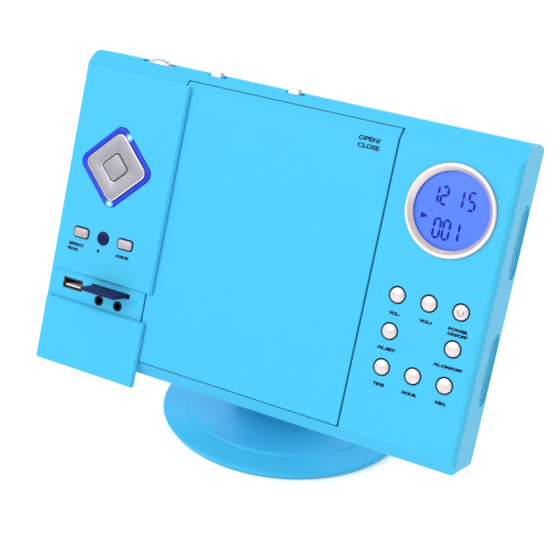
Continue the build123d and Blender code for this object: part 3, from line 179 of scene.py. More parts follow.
room_light, seen_white = 0.68, 1.0
world = bpy.data.worlds.new("studio")
bpy.context.scene.world = world
world.use_nodes = True
sky = world.node_tree
sky.nodes.clear()
direct = direct_rays(sky)
lit_room = background(sky, room_light)
white_room = background(sky, seen_white)
either = sky.nodes.new("ShaderNodeMixShader")
sky_out = sky.nodes.new("ShaderNodeOutputWorld")
sky.links.new(direct, either.inputs[0])
sky.links.new(lit_room.outputs[0], either.inputs[1])
sky.links.new(white_room.outputs[0], either.inputs[2])
sky.links.new(either.outputs[0], sky_out.inputs["Surface"])
print("room light", room_light)

# %% Floor
floor_mesh = bpy.data.meshes.new("floor")
half_floor = 6.0
corners = [(x * half_floor, y * half_floor, 0) for x, y in ((-1, -1), (1, -1), (1, 1), (-1, 1))]
floor_mesh.from_pydata(corners, [], [(0, 1, 2, 3)])
floor = bpy.data.objects.new("floor", floor_mesh)
bpy.context.scene.collection.objects.link(floor)
floor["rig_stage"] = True

floor_glow = 0.45
floor_paint = bpy.data.materials.new("white_floor")
floor_paint.use_nodes = True
floor_tree = floor_paint.node_tree
floor_shader = floor_tree.nodes["Principled BSDF"]
floor_shader.inputs["Base Color"].default_value = (0.93, 0.93, 0.93, 1)
floor_shader.inputs["Roughness"].default_value = 0.9
floor_shader.inputs["Specular IOR Level"].default_value = 0.1
floor_shader.inputs["Emission Color"].default_value = (1, 1, 1, 1)
direct = direct_rays(floor_tree)
glow = floor_tree.nodes.new("ShaderNodeMath")
glow.operation = "MULTIPLY"
glow.inputs[1].default_value = floor_glow
floor_tree.links.new(direct, glow.inputs[0])
floor_tree.links.new(glow.outputs[0], floor_shader.inputs["Emission Strength"])
floor_mesh.materials.append(floor_paint)
print("floor", 2 * half_floor, "m wide")

# %% Suns


def sun(name, towards, strength, width):
    """A soft sun: it shines from the direction towards, and width is its angle in degrees."""
    data = bpy.data.lights.new(name, "SUN")
    data.energy = strength
    data.angle = math.radians(width)
    lamp = bpy.data.objects.new(name, data)
    lamp.rotation_mode = "QUATERNION"
    lamp.rotation_quaternion = Vector(towards).to_track_quat("Z", "Y")
    bpy.context.scene.collection.objects.link(lamp)


suns = [
    ("key_sun", (-0.35, -1.0, 0.75), 1.02, 45),
    ("window_sun", (-0.57, -0.68, 0.47), 0.35, 25),
    ("back_sun", (-0.4, 1.0, 1.1), 1.1, 60),
]
for name, towards, strength, width in suns:
    sun(name, towards, strength, width)
print("suns set:", len(suns))

# %% [markdown]
# ## Shared surface effects
#
# Moulded plastic is never one flat colour. Its colour drifts by a few percent, its skin has a fine
# grain from the mould, and its gloss varies. Brushed metal has fine parallel lines. Each effect is a
# node group that gives out a colour, a roughness and a height, and every material places the group with
# its own values, so one change to a group reaches all of them. The shader itself stays in the material.

# %% Node group helpers


def socket(group, name, way, kind, value=None):
    """One named input or output of a node group."""
    made = group.interface.new_socket(name=name, in_out=way, socket_type=kind)
    if value is not None:
        made.default_value = value


def join(tree, source, target):
    """A link from an output to an input."""
    tree.links.new(source, target)


def feed(tree, value, target):
    """Set an input to a number, or join an output to it."""
    if isinstance(value, (int, float)):
        target.default_value = value
    else:
        join(tree, value, target)


def number_node(tree, operation, first, second=None):
    """A Math node whose inputs are numbers or outputs."""
    node = tree.nodes.new("ShaderNodeMath")
    node.operation = operation
    feed(tree, first, node.inputs[0])
    if second is not None:
        feed(tree, second, node.inputs[1])
    return node.outputs[0]


def spread(tree, value, low, high):
    """A Map Range node from 0..1 to low..high."""
    node = tree.nodes.new("ShaderNodeMapRange")
    join(tree, value, node.inputs["Value"])
    feed(tree, low, node.inputs["To Min"])
    feed(tree, high, node.inputs["To Max"])
    return node.outputs["Result"]


def noise(tree, where, scale, detail=3.0):
    """A Noise Texture node whose scale is a number or an output."""
    node = tree.nodes.new("ShaderNodeTexNoise")
    join(tree, where, node.inputs["Vector"])
    node.inputs["Detail"].default_value = detail
    feed(tree, scale, node.inputs["Scale"])
    return node.outputs["Fac"]


def shaded(tree, colour, factor):
    """The colour times a grey factor."""
    node = tree.nodes.new("ShaderNodeVectorMath")
    node.operation = "SCALE"
    join(tree, colour, node.inputs[0])
    join(tree, factor, node.inputs["Scale"])
    return node.outputs[0]


def effect_group(name, inputs):
    """A node group with these inputs that gives out a colour, a roughness and a height."""
    group = bpy.data.node_groups.new(name, "ShaderNodeTree")
    for label, kind, value in inputs:
        socket(group, label, "INPUT", kind, value)
    socket(group, "Colour", "OUTPUT", "NodeSocketColor")
    socket(group, "Roughness", "OUTPUT", "NodeSocketFloat")
    socket(group, "Height", "OUTPUT", "NodeSocketFloat")
    given = group.nodes.new("NodeGroupInput").outputs
    result = group.nodes.new("NodeGroupOutput").inputs
    place = group.nodes.new("ShaderNodeTexCoord").outputs["Object"]
    return group, given, result, place


def vary_colour(group, pattern, colour, swing, target):
    """Join the colour to target, times a factor that the pattern moves by swing up and down."""
    low = number_node(group, "SUBTRACT", 1.0, swing)
    high = number_node(group, "ADD", 1.0, swing)
    join(group, shaded(group, colour, spread(group, pattern, low, high)), target)


def vary_roughness(group, pattern, roughness, swing, target):
    """Join the roughness to target, times a factor that the pattern moves by swing up and down."""
    low = number_node(group, "MULTIPLY", roughness, 1 - swing)
    high = number_node(group, "MULTIPLY", roughness, 1 + swing)
    join(group, spread(group, pattern, low, high), target)


print("node helpers ready")

# %% Moulded skin
flow_scale, handled_scale, skin_swing = 14.0, 45.0, 0.2
moulded_skin, given, result, place = effect_group("moulded_skin", [
    ("Colour", "NodeSocketColor", (0.5, 0.5, 0.5, 1)),
    ("Drift", "NodeSocketFloat", 0.03),
    ("Roughness", "NodeSocketFloat", 0.35),
    ("Grain Scale", "NodeSocketFloat", 1800.0),
])
flow = noise(moulded_skin, place, flow_scale, 2.0)
vary_colour(moulded_skin, flow, given["Colour"], given["Drift"], result["Colour"])
handled = noise(moulded_skin, place, handled_scale, 4.0)
vary_roughness(moulded_skin, handled, given["Roughness"], skin_swing, result["Roughness"])
join(moulded_skin, noise(moulded_skin, place, given["Grain Scale"], 2.0), result["Height"])
print("group", moulded_skin.name, "with", len(moulded_skin.nodes), "nodes")

# %% Brushed grain
brushed_swing = 0.25
brushed_grain, given, result, place = effect_group("brushed_grain", [
    ("Colour", "NodeSocketColor", (0.6, 0.6, 0.62, 1)),
    ("Contrast", "NodeSocketFloat", 0.08),
    ("Roughness", "NodeSocketFloat", 0.35),
    ("Stretch", "NodeSocketVector", (60.0, 4000.0, 4000.0)),
])
stretched = brushed_grain.nodes.new("ShaderNodeVectorMath")
stretched.operation = "MULTIPLY"
join(brushed_grain, place, stretched.inputs[0])
join(brushed_grain, given["Stretch"], stretched.inputs[1])
lines = noise(brushed_grain, stretched.outputs[0], 1.0)
vary_colour(brushed_grain, lines, given["Colour"], given["Contrast"], result["Colour"])
vary_roughness(brushed_grain, lines, given["Roughness"], brushed_swing, result["Roughness"])
join(brushed_grain, lines, result["Height"])
print("group", brushed_grain.name, "with", len(brushed_grain.nodes), "nodes")

# %% [markdown]
# ## Finishes
#
# The shell is sky blue plastic, moulded with a satin gloss. The buttons and the pad are painted or
# plated silver. Inside there are grey and black mouldings, steel, and green boards. A helper builds
# each material from one of the two groups and sets the constants straight on the shader.

# %% Material helpers
relief_depth = 0.00002


def surface(name, group, values, bump, **shader_values):
    """A material: one effect group, a Bump node and a Principled shader with constants of its own."""
    made = bpy.data.materials.new(name)
    made.use_nodes = True
    tree = made.node_tree
    shader = tree.nodes["Principled BSDF"]
    effect = tree.nodes.new("ShaderNodeGroup")
    effect.node_tree = group
    for key, value in values.items():
        effect.inputs[key].default_value = value
    join(tree, effect.outputs["Colour"], shader.inputs["Base Color"])
    join(tree, effect.outputs["Roughness"], shader.inputs["Roughness"])
    relief = tree.nodes.new("ShaderNodeBump")
    relief.inputs["Strength"].default_value = bump
    relief.inputs["Distance"].default_value = relief_depth
    join(tree, effect.outputs["Height"], relief.inputs["Height"])
    join(tree, relief.outputs["Normal"], shader.inputs["Normal"])
    for key, value in shader_values.items():
        shader.inputs[key.replace("_", " ")].default_value = value
    return made


def plastic(name, colour, roughness=0.35, drift=0.02, grain=1800.0, bump=0.15, **shader_values):
    """A plastic or a paint, from the moulded skin."""
    values = {"Colour": colour, "Drift": drift, "Roughness": roughness, "Grain Scale": grain}
    return surface(name, moulded_skin, values, bump, **shader_values)


def metal(name, colour, roughness=0.3, contrast=0.06, stretch=(60.0, 4000.0, 4000.0), bump=0.1,
          **shader_values):
    """A metal or a plating, from the brushed grain."""
    values = {"Colour": colour, "Contrast": contrast, "Roughness": roughness, "Stretch": stretch}
    return surface(name, brushed_grain, values, bump, **{"Metallic": 1.0, **shader_values})


print("material helpers ready")

# %% The finishes
sky_blue = plastic("sky_blue_plastic", paint(72, 192, 234), 0.4, 0.012, Specular_IOR_Level=0.14)
bay_grey = plastic("bay_grey_plastic", paint(150, 158, 166), 0.5, 0.04)
inner_black = plastic("black_plastic", paint(26, 28, 34), 0.45, 0.1)
jack_black = plastic("jack_black_plastic", paint(12, 16, 40), 0.5, 0.1, Specular_IOR_Level=0.15)
# Painted shade: dark navy for the skirts of buttons and keys, so the gaps round them read dark.
painted_gap_shade = plastic("shaded_gap_plastic", paint(10, 40, 84), 0.7, 0.05, Specular_IOR_Level=0.1)
pearl_silver = plastic("pearl_silver_paint", paint(216, 206, 208), 0.24, 0.02, 5200.0, 0.2,
                       Metallic=0.3, Coat_Weight=0.3, Coat_Roughness=0.08)
pad_grain, ring_grain = (900.0, 900.0, 900.0), (500.0, 500.0, 500.0)
brushed_silver = metal("brushed_silver_paint", paint(150, 149, 157), 0.4, 0.05, pad_grain, 0.12,
                       Metallic=0.5)
ring_silver = metal("silver_ring_plating", paint(220, 214, 214), 0.22, 0.03, ring_grain, 0.05,
                    Metallic=0.85)
# Painted shade: a darker taupe copy of the ring silver for the ring's inner slope, in place of its dark
# reflection.
ring_slope_shade = metal("satin_ring_slope", paint(206, 196, 198), 0.3, 0.05, ring_grain, 0.05, Metallic=0.9)
key_silver = plastic("key_silver_paint", paint(178, 168, 174), 0.3, 0.02, 5200.0, 0.2, Metallic=0.3)
white_plastic = plastic("white_plastic", paint(232, 236, 240), 0.35, 0.02)
knob_silver = plastic("knob_silver_paint", paint(188, 194, 200), 0.3, 0.02, 4200.0, 0.2, Metallic=0.3)
card_navy = plastic("card_navy_plastic", paint(30, 30, 88), 0.5, 0.05, Specular_IOR_Level=0.15)
rubber = plastic("dark_rubber", paint(48, 50, 54), 0.75, 0.08, 2600.0, 0.5)
bright_steel = metal("bright_steel", paint(206, 208, 212), 0.25)
weight_steel = metal("zinc_steel", paint(150, 152, 156), 0.45, 0.12)
socket_metal = metal("socket_metal", paint(112, 96, 92), 0.3, 0.08)
print("finishes so far:", len(bpy.data.materials))

# %% [markdown]
# ## Clear parts, the lit display and printed marks
#
# The frame round the pad is clear blue plastic. Its depth makes it darker than the shell, so it takes a
# saturated blue, and two painted glints glow on it as emission, though no lamp is there. The receiver
# window is the same in a smoky tone.
# The display cell is lit from behind, which a little emission in its own colour gives. The words are
# printed in one dark ink, and the sign of the power button in a soft grey.

# %% Clear and printed finishes
clear_blue = plastic("clear_blue_plastic", paint(8, 54, 214), 0.16, 0.1, 300.0, 0.05,
                     Specular_IOR_Level=0.35)
smoke_blue = plastic("smoke_blue_plastic", paint(10, 20, 84), 0.25, 0.1, 300.0, 0.03,
                     Specular_IOR_Level=0.12)
display_blue = plastic("lit_display_blue", paint(66, 112, 244), 0.5, 0.03, 900.0, 0.02,
                       Emission_Color=paint(84, 124, 255), Emission_Strength=0.15)


def painted_glints(material, places, radius, colour, strength):
    """Painted glints on a clear part, though no lamp is there: emission that fades out at radius from
    each place.
    """
    tree = material.node_tree
    shader = tree.nodes["Principled BSDF"]
    where = tree.nodes.new("ShaderNodeTexCoord").outputs["Object"]
    total = 0.0
    for place in places:
        distance = tree.nodes.new("ShaderNodeVectorMath")
        distance.operation = "DISTANCE"
        join(tree, where, distance.inputs[0])
        distance.inputs[1].default_value = place
        near = tree.nodes.new("ShaderNodeMapRange")
        near.interpolation_type = "SMOOTHSTEP"
        join(tree, distance.outputs["Value"], near.inputs["Value"])
        near.inputs["From Min"].default_value = radius
        near.inputs["From Max"].default_value = 0.0
        total = number_node(tree, "ADD", near.outputs["Result"], total)
    join(tree, number_node(tree, "MULTIPLY", total, strength), shader.inputs["Emission Strength"])
    shader.inputs["Emission Color"].default_value = colour


# Painted glints: two soft white spots of emission at the frame's corners, where light catches it, not
# lamps.
glint_places = [body_frame @ Vector(spot) for spot in ((-95.0, 44.6, 3.4), (-100.4, 4.2, 3.4))]
glint_radius, glint_strength = 3.2 * mm, 1.6
painted_glints(clear_blue, glint_places, glint_radius, paint(150, 225, 255), glint_strength)
ink = plastic("dark_blue_ink", paint(2, 20, 66), 0.55, 0.1, 3000.0, 0.1, Specular_IOR_Level=0.2)
sign_grey = plastic("soft_grey_ink", paint(140, 126, 132), 0.5, 0.1, 2000.0, 0.02)
segment_ink = plastic("display_segment_ink", paint(14, 34, 150), 0.5, 0.1, 2000.0, 0.02,
                      Specular_IOR_Level=0.1)

lens_clear = plastic("display_lens_clear", paint(248, 250, 253), 0.02, 0.005, 200.0, 0.0,
                     Transmission_Weight=1.0, IOR=1.1)
eye_clear = plastic("pickup_lens_glass", paint(190, 200, 235), 0.05, 0.005, 200.0, 0.0,
                    Transmission_Weight=0.7, IOR=1.5)
board_green = plastic("board_green_lacquer", paint(22, 92, 56), 0.3, 0.2, 700.0, 0.3, Coat_Weight=0.4)
print("finishes in all:", len(bpy.data.materials))

# %% [markdown]
# ## Making a piece
#
# A finished piece is a mesh in the room frame on an object at the origin. It rides on one of the bodies
# that move, it hides the solids that it stands for, and it takes its finish from the materials given.
# One helper does all of that, so no cell forgets a step. A mesh is drawn on the leaning face unless the
# helper is given another frame. Smooth shading with sharp edges above an angle keeps flat faces flat.

# %% Finish one piece
outline_weld = 1e-5


def second_finish(mesh, picks):
    """Give the second finish of a piece to each face that picks(centre, normal) is true for."""
    for face in mesh.polygons:
        face.material_index = 1 if picks(face.center, face.normal) else 0
    return mesh


def add_piece(name, mesh, body, finishes, stands_for=(), crease=32.0, place=body_frame):
    """Put a mesh into the scene as one piece that rides on a body; finishes is one or a list."""
    mesh.transform(place)
    mesh.name = name
    chosen = [face.material_index for face in mesh.polygons]
    mesh.materials.clear()
    for finish in finishes if isinstance(finishes, list) else [finishes]:
        mesh.materials.append(finish)
    mesh.polygons.foreach_set("material_index", chosen)
    mesh.shade_smooth()
    mesh.set_sharp_from_angle(angle=math.radians(crease))
    piece = bpy.data.objects.new(name, mesh)
    bpy.context.scene.collection.objects.link(piece)
    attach(piece, body)
    if stands_for:
        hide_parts(*stands_for)
    return piece


def mesh_from(bm, name):
    """A mesh data block from a bmesh, with its doubles merged and its faces turned outwards."""
    bmesh.ops.remove_doubles(bm, verts=bm.verts, dist=outline_weld)
    bmesh.ops.recalc_face_normals(bm, faces=bm.faces)
    mesh = bpy.data.meshes.new(name)
    bm.to_mesh(mesh)
    bm.free()
    return mesh


print("piece helper ready")

# %% [markdown]
# ## Round shapes with Geometry Nodes
#
# The foot, the display ring, the round buttons and the core of the thumbwheel are turned shapes: a
# profile that goes round an axis. Blender could use its Screw modifier, but a node tree keeps the count
# of steps as a named input and merges the seam and the poles in the same place. The seed mesh holds the
# profile's points, a grid takes one row for each of them, and Set Position bends the grid round the
# axis.

# %% Tree for turned shapes


def geometry_tree(name, inputs):
    """A Geometry Nodes tree with a geometry input, named inputs and a geometry output."""
    tree = bpy.data.node_groups.new(name, "GeometryNodeTree")
    tree.is_modifier = True
    socket(tree, "Geometry", "OUTPUT", "NodeSocketGeometry")
    socket(tree, "Geometry", "INPUT", "NodeSocketGeometry")
    for label, kind, value in inputs:
        socket(tree, label, "INPUT", kind, value)
    return tree


def finish_tree(tree, geometry, material_socket):
    """End a tree with Realize Instances and Set Material."""
    real = tree.nodes.new("GeometryNodeRealizeInstances")
    painted = tree.nodes.new("GeometryNodeSetMaterial")
    out = tree.nodes.new("NodeGroupOutput")
    join(tree, geometry, real.inputs["Geometry"])
    join(tree, real.outputs["Geometry"], painted.inputs["Geometry"])
    join(tree, material_socket, painted.inputs["Material"])
    join(tree, painted.outputs["Geometry"], out.inputs["Geometry"])


def grow(tree, seed, values):
    """Run a tree on a seed mesh and give back the plain mesh that it makes."""
    carrier = bpy.data.objects.new("seed", seed)
    bpy.context.scene.collection.objects.link(carrier)
    modifier = carrier.modifiers.new("grow", "NODES")
    modifier.node_group = tree
    for item in tree.interface.items_tree:
        if item.in_out == "INPUT" and item.name in values:
            modifier[item.identifier] = values[item.name]
    graph = bpy.context.evaluated_depsgraph_get()
    made = bpy.data.meshes.new_from_object(carrier.evaluated_get(graph))
    carrier.modifiers.remove(modifier)
    bpy.data.objects.remove(carrier)
    return made


turned_tree = geometry_tree("turned_shape", [
    ("Profile Points", "NodeSocketInt", 8),
    ("Steps Round", "NodeSocketInt", 64),
    ("Finish", "NodeSocketMaterial", None),
])
print("turned_shape has its inputs")

# %% Nodes of the turned shape
seam_weld = 0.0005
t = turned_tree
t_in = t.nodes.new("NodeGroupInput")
sheet = t.nodes.new("GeometryNodeMeshGrid")
around = number_node(t, "ADD", t_in.outputs["Steps Round"], 1)
join(t, t_in.outputs["Profile Points"], sheet.inputs["Vertices X"])
join(t, around, sheet.inputs["Vertices Y"])
index = t.nodes.new("GeometryNodeInputIndex").outputs[0]
row = number_node(t, "FLOOR", number_node(t, "DIVIDE", number_node(t, "ADD", index, 0.5), around))
column = number_node(t, "SUBTRACT", index, number_node(t, "MULTIPLY", row, around))
position = t.nodes.new("GeometryNodeInputPosition").outputs[0]
profile = t.nodes.new("GeometryNodeSampleIndex")
profile.data_type = "FLOAT_VECTOR"
join(t, t_in.outputs["Geometry"], profile.inputs["Geometry"])
join(t, position, profile.inputs["Value"])
join(t, row, profile.inputs["Index"])
parts = t.nodes.new("ShaderNodeSeparateXYZ")
join(t, profile.outputs["Value"], parts.inputs[0])
share = number_node(t, "DIVIDE", column, t_in.outputs["Steps Round"])
angle = number_node(t, "MULTIPLY", share, 2 * math.pi)
bent = t.nodes.new("ShaderNodeCombineXYZ")
for axis, wave in (("X", "COSINE"), ("Y", "SINE")):
    along = number_node(t, "MULTIPLY", parts.outputs["X"], number_node(t, wave, angle))
    join(t, along, bent.inputs[axis])
join(t, parts.outputs["Z"], bent.inputs["Z"])
moved = t.nodes.new("GeometryNodeSetPosition")
join(t, sheet.outputs["Mesh"], moved.inputs["Geometry"])
join(t, bent.outputs[0], moved.inputs["Position"])
welded = t.nodes.new("GeometryNodeMergeByDistance")
welded.inputs["Distance"].default_value = seam_weld
join(t, moved.outputs["Geometry"], welded.inputs["Geometry"])
finish_tree(t, welded.outputs["Geometry"], t_in.outputs["Finish"])
print("turned_shape has", len(t.nodes), "nodes")

# %% Turn a profile


def turned(profile_points, steps, material):
    """A mesh turned from (radius, height) points in millimetres, round z."""
    seed = bpy.data.meshes.new("profile")
    seed.from_pydata([(r, 0, z) for r, z in profile_points], [], [])
    values = {"Profile Points": len(profile_points), "Steps Round": steps, "Finish": material}
    made = grow(turned_tree, seed, values)
    bm = bmesh.new()
    bm.from_mesh(made)
    return mesh_from(bm, "turned")


def bend(centre, radius, start, end, steps):
    """Points of an arc in a profile, angles in degrees."""
    points = []
    for i in range(steps + 1):
        a = math.radians(start + (end - start) * i / steps)
        points.append((centre[0] + radius * math.cos(a), centre[1] + radius * math.sin(a)))
    return points


test = turned([(0, 0), (5, 0), (5, 2), (0, 2)], 16, sky_blue)
print("a test disc has", len(test.polygons), "faces")
bpy.data.meshes.remove(test)

# %% [markdown]
# ## Prisms with rounded edges
#
# Keys, knobs and the pad are outlines pushed out of the face with eased edges. A stack of rings builds
# them: each ring is the same outline at its own inset and height. The corner keeps its count of points
# at every inset, so the rings join in clean four-sided faces and no bevel has to be cleaned up.

# %% Stacks of rings


def rounded_rectangle(width, height, corner, turn=0.0, steps=8):
    """A function that gives the rectangle's outline at an inset."""

    def outline(inset):
        radius = max(corner - inset, 0.02)
        half_w = width / 2 - inset - radius
        half_h = height / 2 - inset - radius
        points = []
        for quarter, (sx, sy) in enumerate(((1, 1), (-1, 1), (-1, -1), (1, -1))):
            for i in range(steps + 1):
                a = math.radians(90 * quarter + 90 * i / steps)
                x = sx * half_w + radius * math.cos(a)
                y = sy * half_h + radius * math.sin(a)
                c, s = math.cos(turn), math.sin(turn)
                points.append((x * c - y * s, x * s + y * c))
        return points

    return outline


def eased_rings(low, high, low_round, high_round, steps=4):
    """Insets and heights of a wall with rounded edges at both ends."""
    angles = [math.pi / 2 * i / steps for i in range(steps + 1)]
    rings = [(low_round * (1 - math.sin(a)), low + low_round * (1 - math.cos(a))) for a in angles]
    rings += [(high_round * (1 - math.cos(a)), high - high_round * (1 - math.sin(a))) for a in angles]
    return rings


def stack(rings, outline, inner=None, inner_rings=None, at=(0, 0)):
    """A closed mesh through rings; with an inner outline it is a frame with a hole."""
    bm = bmesh.new()
    loops = [[bm.verts.new((x + at[0], y + at[1], z)) for x, y in outline(inset)] for inset, z in rings]
    if inner:
        for inset, z in inner_rings:
            loops.append([bm.verts.new((x + at[0], y + at[1], z)) for x, y in inner(inset)])
        loops.append(loops[0])
    for one, two in zip(loops, loops[1:]):
        count = len(one)
        for i in range(count):
            bm.faces.new((one[i], one[(i + 1) % count], two[(i + 1) % count], two[i]))
    if not inner:
        bm.faces.new(loops[0])
        bm.faces.new(loops[-1])
    return mesh_from(bm, "stack")


def joined(*meshes):
    """One mesh from several."""
    bm = bmesh.new()
    for mesh in meshes:
        bm.from_mesh(mesh)
        bpy.data.meshes.remove(mesh)
    made = bpy.data.meshes.new("joined")
    bm.to_mesh(made)
    bm.free()
    return made


def moved_mesh(mesh, x, y, z=0.0):
    """The same mesh, moved."""
    mesh.transform(Matrix.Translation((x, y, z)))
    return mesh


print("ring helpers ready")

# %% [markdown]
# ## The moulded shells
#
# The big mouldings keep the exact shape of the solids, with all their openings. A copy of the solid's
# mesh is merged, its flat facets are joined, and a Bevel modifier eases every edge by a fraction of a
# millimetre, as a mould does. Long shallow creases between the large faces get a wider one. That thin
# round edge catches light, and it is what makes a panel gap read as a gap.

# %% Copies with eased edges
solid_weld = 2e-7
flat_angle, soft_angle, sharp_angle = 0.4, 4, 34
crease_length, crease_area = 8 * mm, 60 * mm**2


def bevel(piece, name, width, segments, method):
    """A Bevel modifier whose width is in millimetres."""
    modifier = piece.modifiers.new(name, "BEVEL")
    modifier.width = width * mm
    modifier.segments = segments
    modifier.limit_method = method
    modifier.angle_limit = math.radians(sharp_angle)
    return modifier


def weigh_soft_creases(bm):
    """Give the full bevel weight to long, shallow creases between large flat faces."""
    weight = bm.edges.layers.float.new("bevel_weight_edge")
    found = 0
    for edge in bm.edges:
        if len(edge.link_faces) != 2 or edge.calc_length() < crease_length:
            continue
        between = math.degrees(edge.calc_face_angle(0.0))
        smaller = min(face.calc_area() for face in edge.link_faces)
        if soft_angle < between < sharp_angle and smaller > crease_area:
            edge[weight] = 1.0
            found += 1
    return found


def eased_copy(node, name, material, ease=0.25, soft=0.0):
    """A merged copy of a solid with its edges eased; it stands for the solid on the same body."""
    source = nodes[node]
    bm = bmesh.new()
    bm.from_mesh(source.data)
    bmesh.ops.remove_doubles(bm, verts=bm.verts, dist=solid_weld)
    bmesh.ops.dissolve_limit(bm, angle_limit=math.radians(flat_angle), verts=bm.verts, edges=bm.edges)
    creases = weigh_soft_creases(bm) if soft else 0
    mesh = bpy.data.meshes.new(name)
    bm.to_mesh(mesh)
    bm.free()
    whole, body = Matrix.Identity(4), source["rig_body"]
    piece = add_piece(name, mesh, body, material, [node], 30.0, whole)
    if creases:
        print(name, "has", creases, "soft creases")
        bevel(piece, "soft_creases", soft, 4, "WEIGHT").use_clamp_overlap = False
    if ease:
        bevel(piece, "ease", ease, 2, "ANGLE")
        flat = piece.modifiers.new("flat_faces", "WEIGHTED_NORMAL")
        flat.keep_sharp = True
    return piece


shells = [
    ("front_shell", "front_moulding", "sky_blue", sky_blue, 0.35, 2.0),
    ("rear_shell", "rear_moulding", "sky_blue", sky_blue, 0.35, 0.0),
    ("disc_door", "door_moulding", "sky_blue", sky_blue, 0.35, 2.0),
    ("left_panel", "left_panel_moulding", "sky_blue", sky_blue, 0.25, 0.0),
    ("port_cover", "cover_moulding", "sky_blue", sky_blue, 0.25, 0.0),
    ("stand_neck", "neck_moulding", "sky_blue", sky_blue, 0.4, 0.0),
    ("disc_deck", "bay_moulding", "bay_grey", bay_grey, 0.2, 0.0),
]
for node, name, slot_name, material, ease, soft in shells:
    made = eased_copy(node, name, material, ease, soft)
    print(name, len(made.data.polygons), "faces")

# %% [markdown]
# ## The round foot
#
# The foot is a shallow dish with a low step near its rim and a crown that rises to the neck. It is a
# turned shape, so the tree makes it from the same heights as the solid, with many more steps round than
# the solid's facets. The rim and the step have small rounds, which give the soft line of light seen on
# them.

# %% Foot
foot_bottom, foot_low = 75.5, 1.0
foot_wide, rim_top = 77.4, 4.3
step_wide, step_low, step_high = 63.7, 8.6, 10.1
crown_height, foot_skin = 12.2, 2.4
crown_edge = (step_wide - 1.4, step_high)
crown_rise = crown_height - crown_edge[1]
crown_ball = (crown_edge[0] ** 2 + crown_rise**2) / (2 * crown_rise)


def crown_at(radius, drop=0.0):
    """The height of the crown at a radius, or of a ball that lies lower by drop."""
    return crown_height - crown_ball + math.sqrt(crown_ball**2 - radius**2) - drop


foot_profile = [(foot_bottom, foot_low), (foot_bottom + 0.9, foot_low + 1.5)]
foot_profile += [(foot_wide - 0.08, rim_top - 0.5), (foot_wide - 0.02, rim_top - 0.15)]
foot_profile += [(foot_wide - 0.25, rim_top + 0.4), (foot_wide - 0.7, rim_top + 0.82)]
slope_outer, slope_inner, rim_round = foot_wide - 1.3, step_wide + 1.0, 1.0
foot_profile.append((slope_outer, rim_top + 1.09))
slope = (step_low - rim_top - rim_round) / (foot_wide - rim_round - slope_inner)
for share in (0.2, 0.4, 0.6, 0.8):
    r = slope_outer + (slope_inner - slope_outer) * share
    foot_profile.append((r, rim_top + rim_round + (foot_wide - rim_round - r) * slope))
foot_profile += [(slope_inner, step_low - 0.02), (step_wide + 0.2, step_low + 0.2)]
foot_profile += [(step_wide - 0.5, step_high - 0.45), (step_wide - 0.9, step_high - 0.15), crown_edge]
crown_radii = [crown_edge[0] * (1 - i / 16) for i in range(1, 17)]
foot_profile += [(r, crown_at(r)) for r in crown_radii]
under_radii = [crown_edge[0] * i / 8 for i in range(9)]
foot_profile += [(r, crown_at(r, foot_skin)) for r in under_radii]
foot_profile += [(foot_wide - 3.4, rim_top - 1.4), (foot_bottom - foot_skin, foot_low)]
foot_profile.append(foot_profile[0])
foot = add_piece("round_foot", turned(foot_profile, 192, sky_blue), "housing", sky_blue,
                 ["base_shell"], 60.0, room_frame)
print("foot", len(foot.data.polygons), "faces")

# %% [markdown]
# ## Display: ring, lens, cell and digits
#
# The display is a round window with a bright plated ring. The ring's outside is a full round crown, and
# its inside falls steeply to the lens; that inner slope is a darker taupe silver, painted shade that
# stands in for the dark reflection on it. The cell behind is blue, and its digits are bars of dark ink.
# Real cells show seven bars to a digit, so a tree that puts one pointed bar on each point of a seed
# makes any number.

# %% Ring and lens
display_x, display_y = 102.6, 47.6
ring_out, ring_in, ring_proud, ring_low = 25.4, 20.9, 2.0, -3.7
sleeve_out = ring_out - 1.4
ring_profile = [(ring_in, ring_low), (ring_in, -0.3), (ring_in + 0.15, -0.1), (ring_in + 2.3, 1.7)]
ring_profile += [(ring_in + 2.5, 1.84), (ring_in + 2.85, 1.96), (ring_in + 3.25, ring_proud)]
ring_profile += [(ring_in + 3.65, 1.95), (ring_in + 4.0, 1.78), (ring_in + 4.25, 1.45)]
ring_profile += [(ring_out - 0.1, 1.1), (ring_out, 0.6), (ring_out, 0.02)]
ring_profile += [(sleeve_out, 0.02), (sleeve_out, ring_low), (ring_in, ring_low)]
# The inner slope takes the second finish, painted shade for the dark reflection it shows.
ring_mesh = second_finish(turned(ring_profile, 128, ring_silver), lambda centre, normal: normal.z < 0.88)
bezel = add_piece("display_ring", moved_mesh(ring_mesh, display_x, display_y), "housing",
                  [ring_silver, ring_slope_shade], ["display_bezel"], 40.0)
lens_low, lens_top, lens_edge = -2.1, -0.9, ring_in - 0.05
lens_profile = [(0, lens_low), (lens_edge, lens_low), (lens_edge, lens_top - 0.1),
                (ring_in - 0.2, lens_top), (0, lens_top)]
lens_mesh = turned(lens_profile, 96, lens_clear)
lens = add_piece("display_window", moved_mesh(lens_mesh, display_x, display_y), "housing",
                 lens_clear, ["display_lens"], 30.0)
cell_low, cell_step, cell_top = -12.0, -3.95, -2.2
cell_wide, cell_inner = 22.0, 20.8
cell_profile = [(0, cell_low), (cell_wide, cell_low), (cell_wide, cell_step), (cell_inner, cell_step),
                (cell_inner, cell_top - 0.15), (cell_inner - 0.2, cell_top), (0, cell_top)]
cell_mesh = turned(cell_profile, 96, display_blue)
cell = add_piece("display_cell", moved_mesh(cell_mesh, display_x, display_y), "housing",
                 display_blue, ["display_panel"], 30.0)
print("ring", len(bezel.data.polygons), "lens", len(lens.data.polygons), "cell", len(cell.data.polygons))

# %% Tree that puts a bar on each point
bar_tree = geometry_tree("bars_on_points", [
    ("Bar", "NodeSocketObject", None),
    ("Finish", "NodeSocketMaterial", None),
])


def point_value(tree, name, kind):
    """The value that each point of the seed holds under this name."""
    node = tree.nodes.new("GeometryNodeInputNamedAttribute")
    node.data_type = kind
    node.inputs["Name"].default_value = name
    return node.outputs["Attribute"]


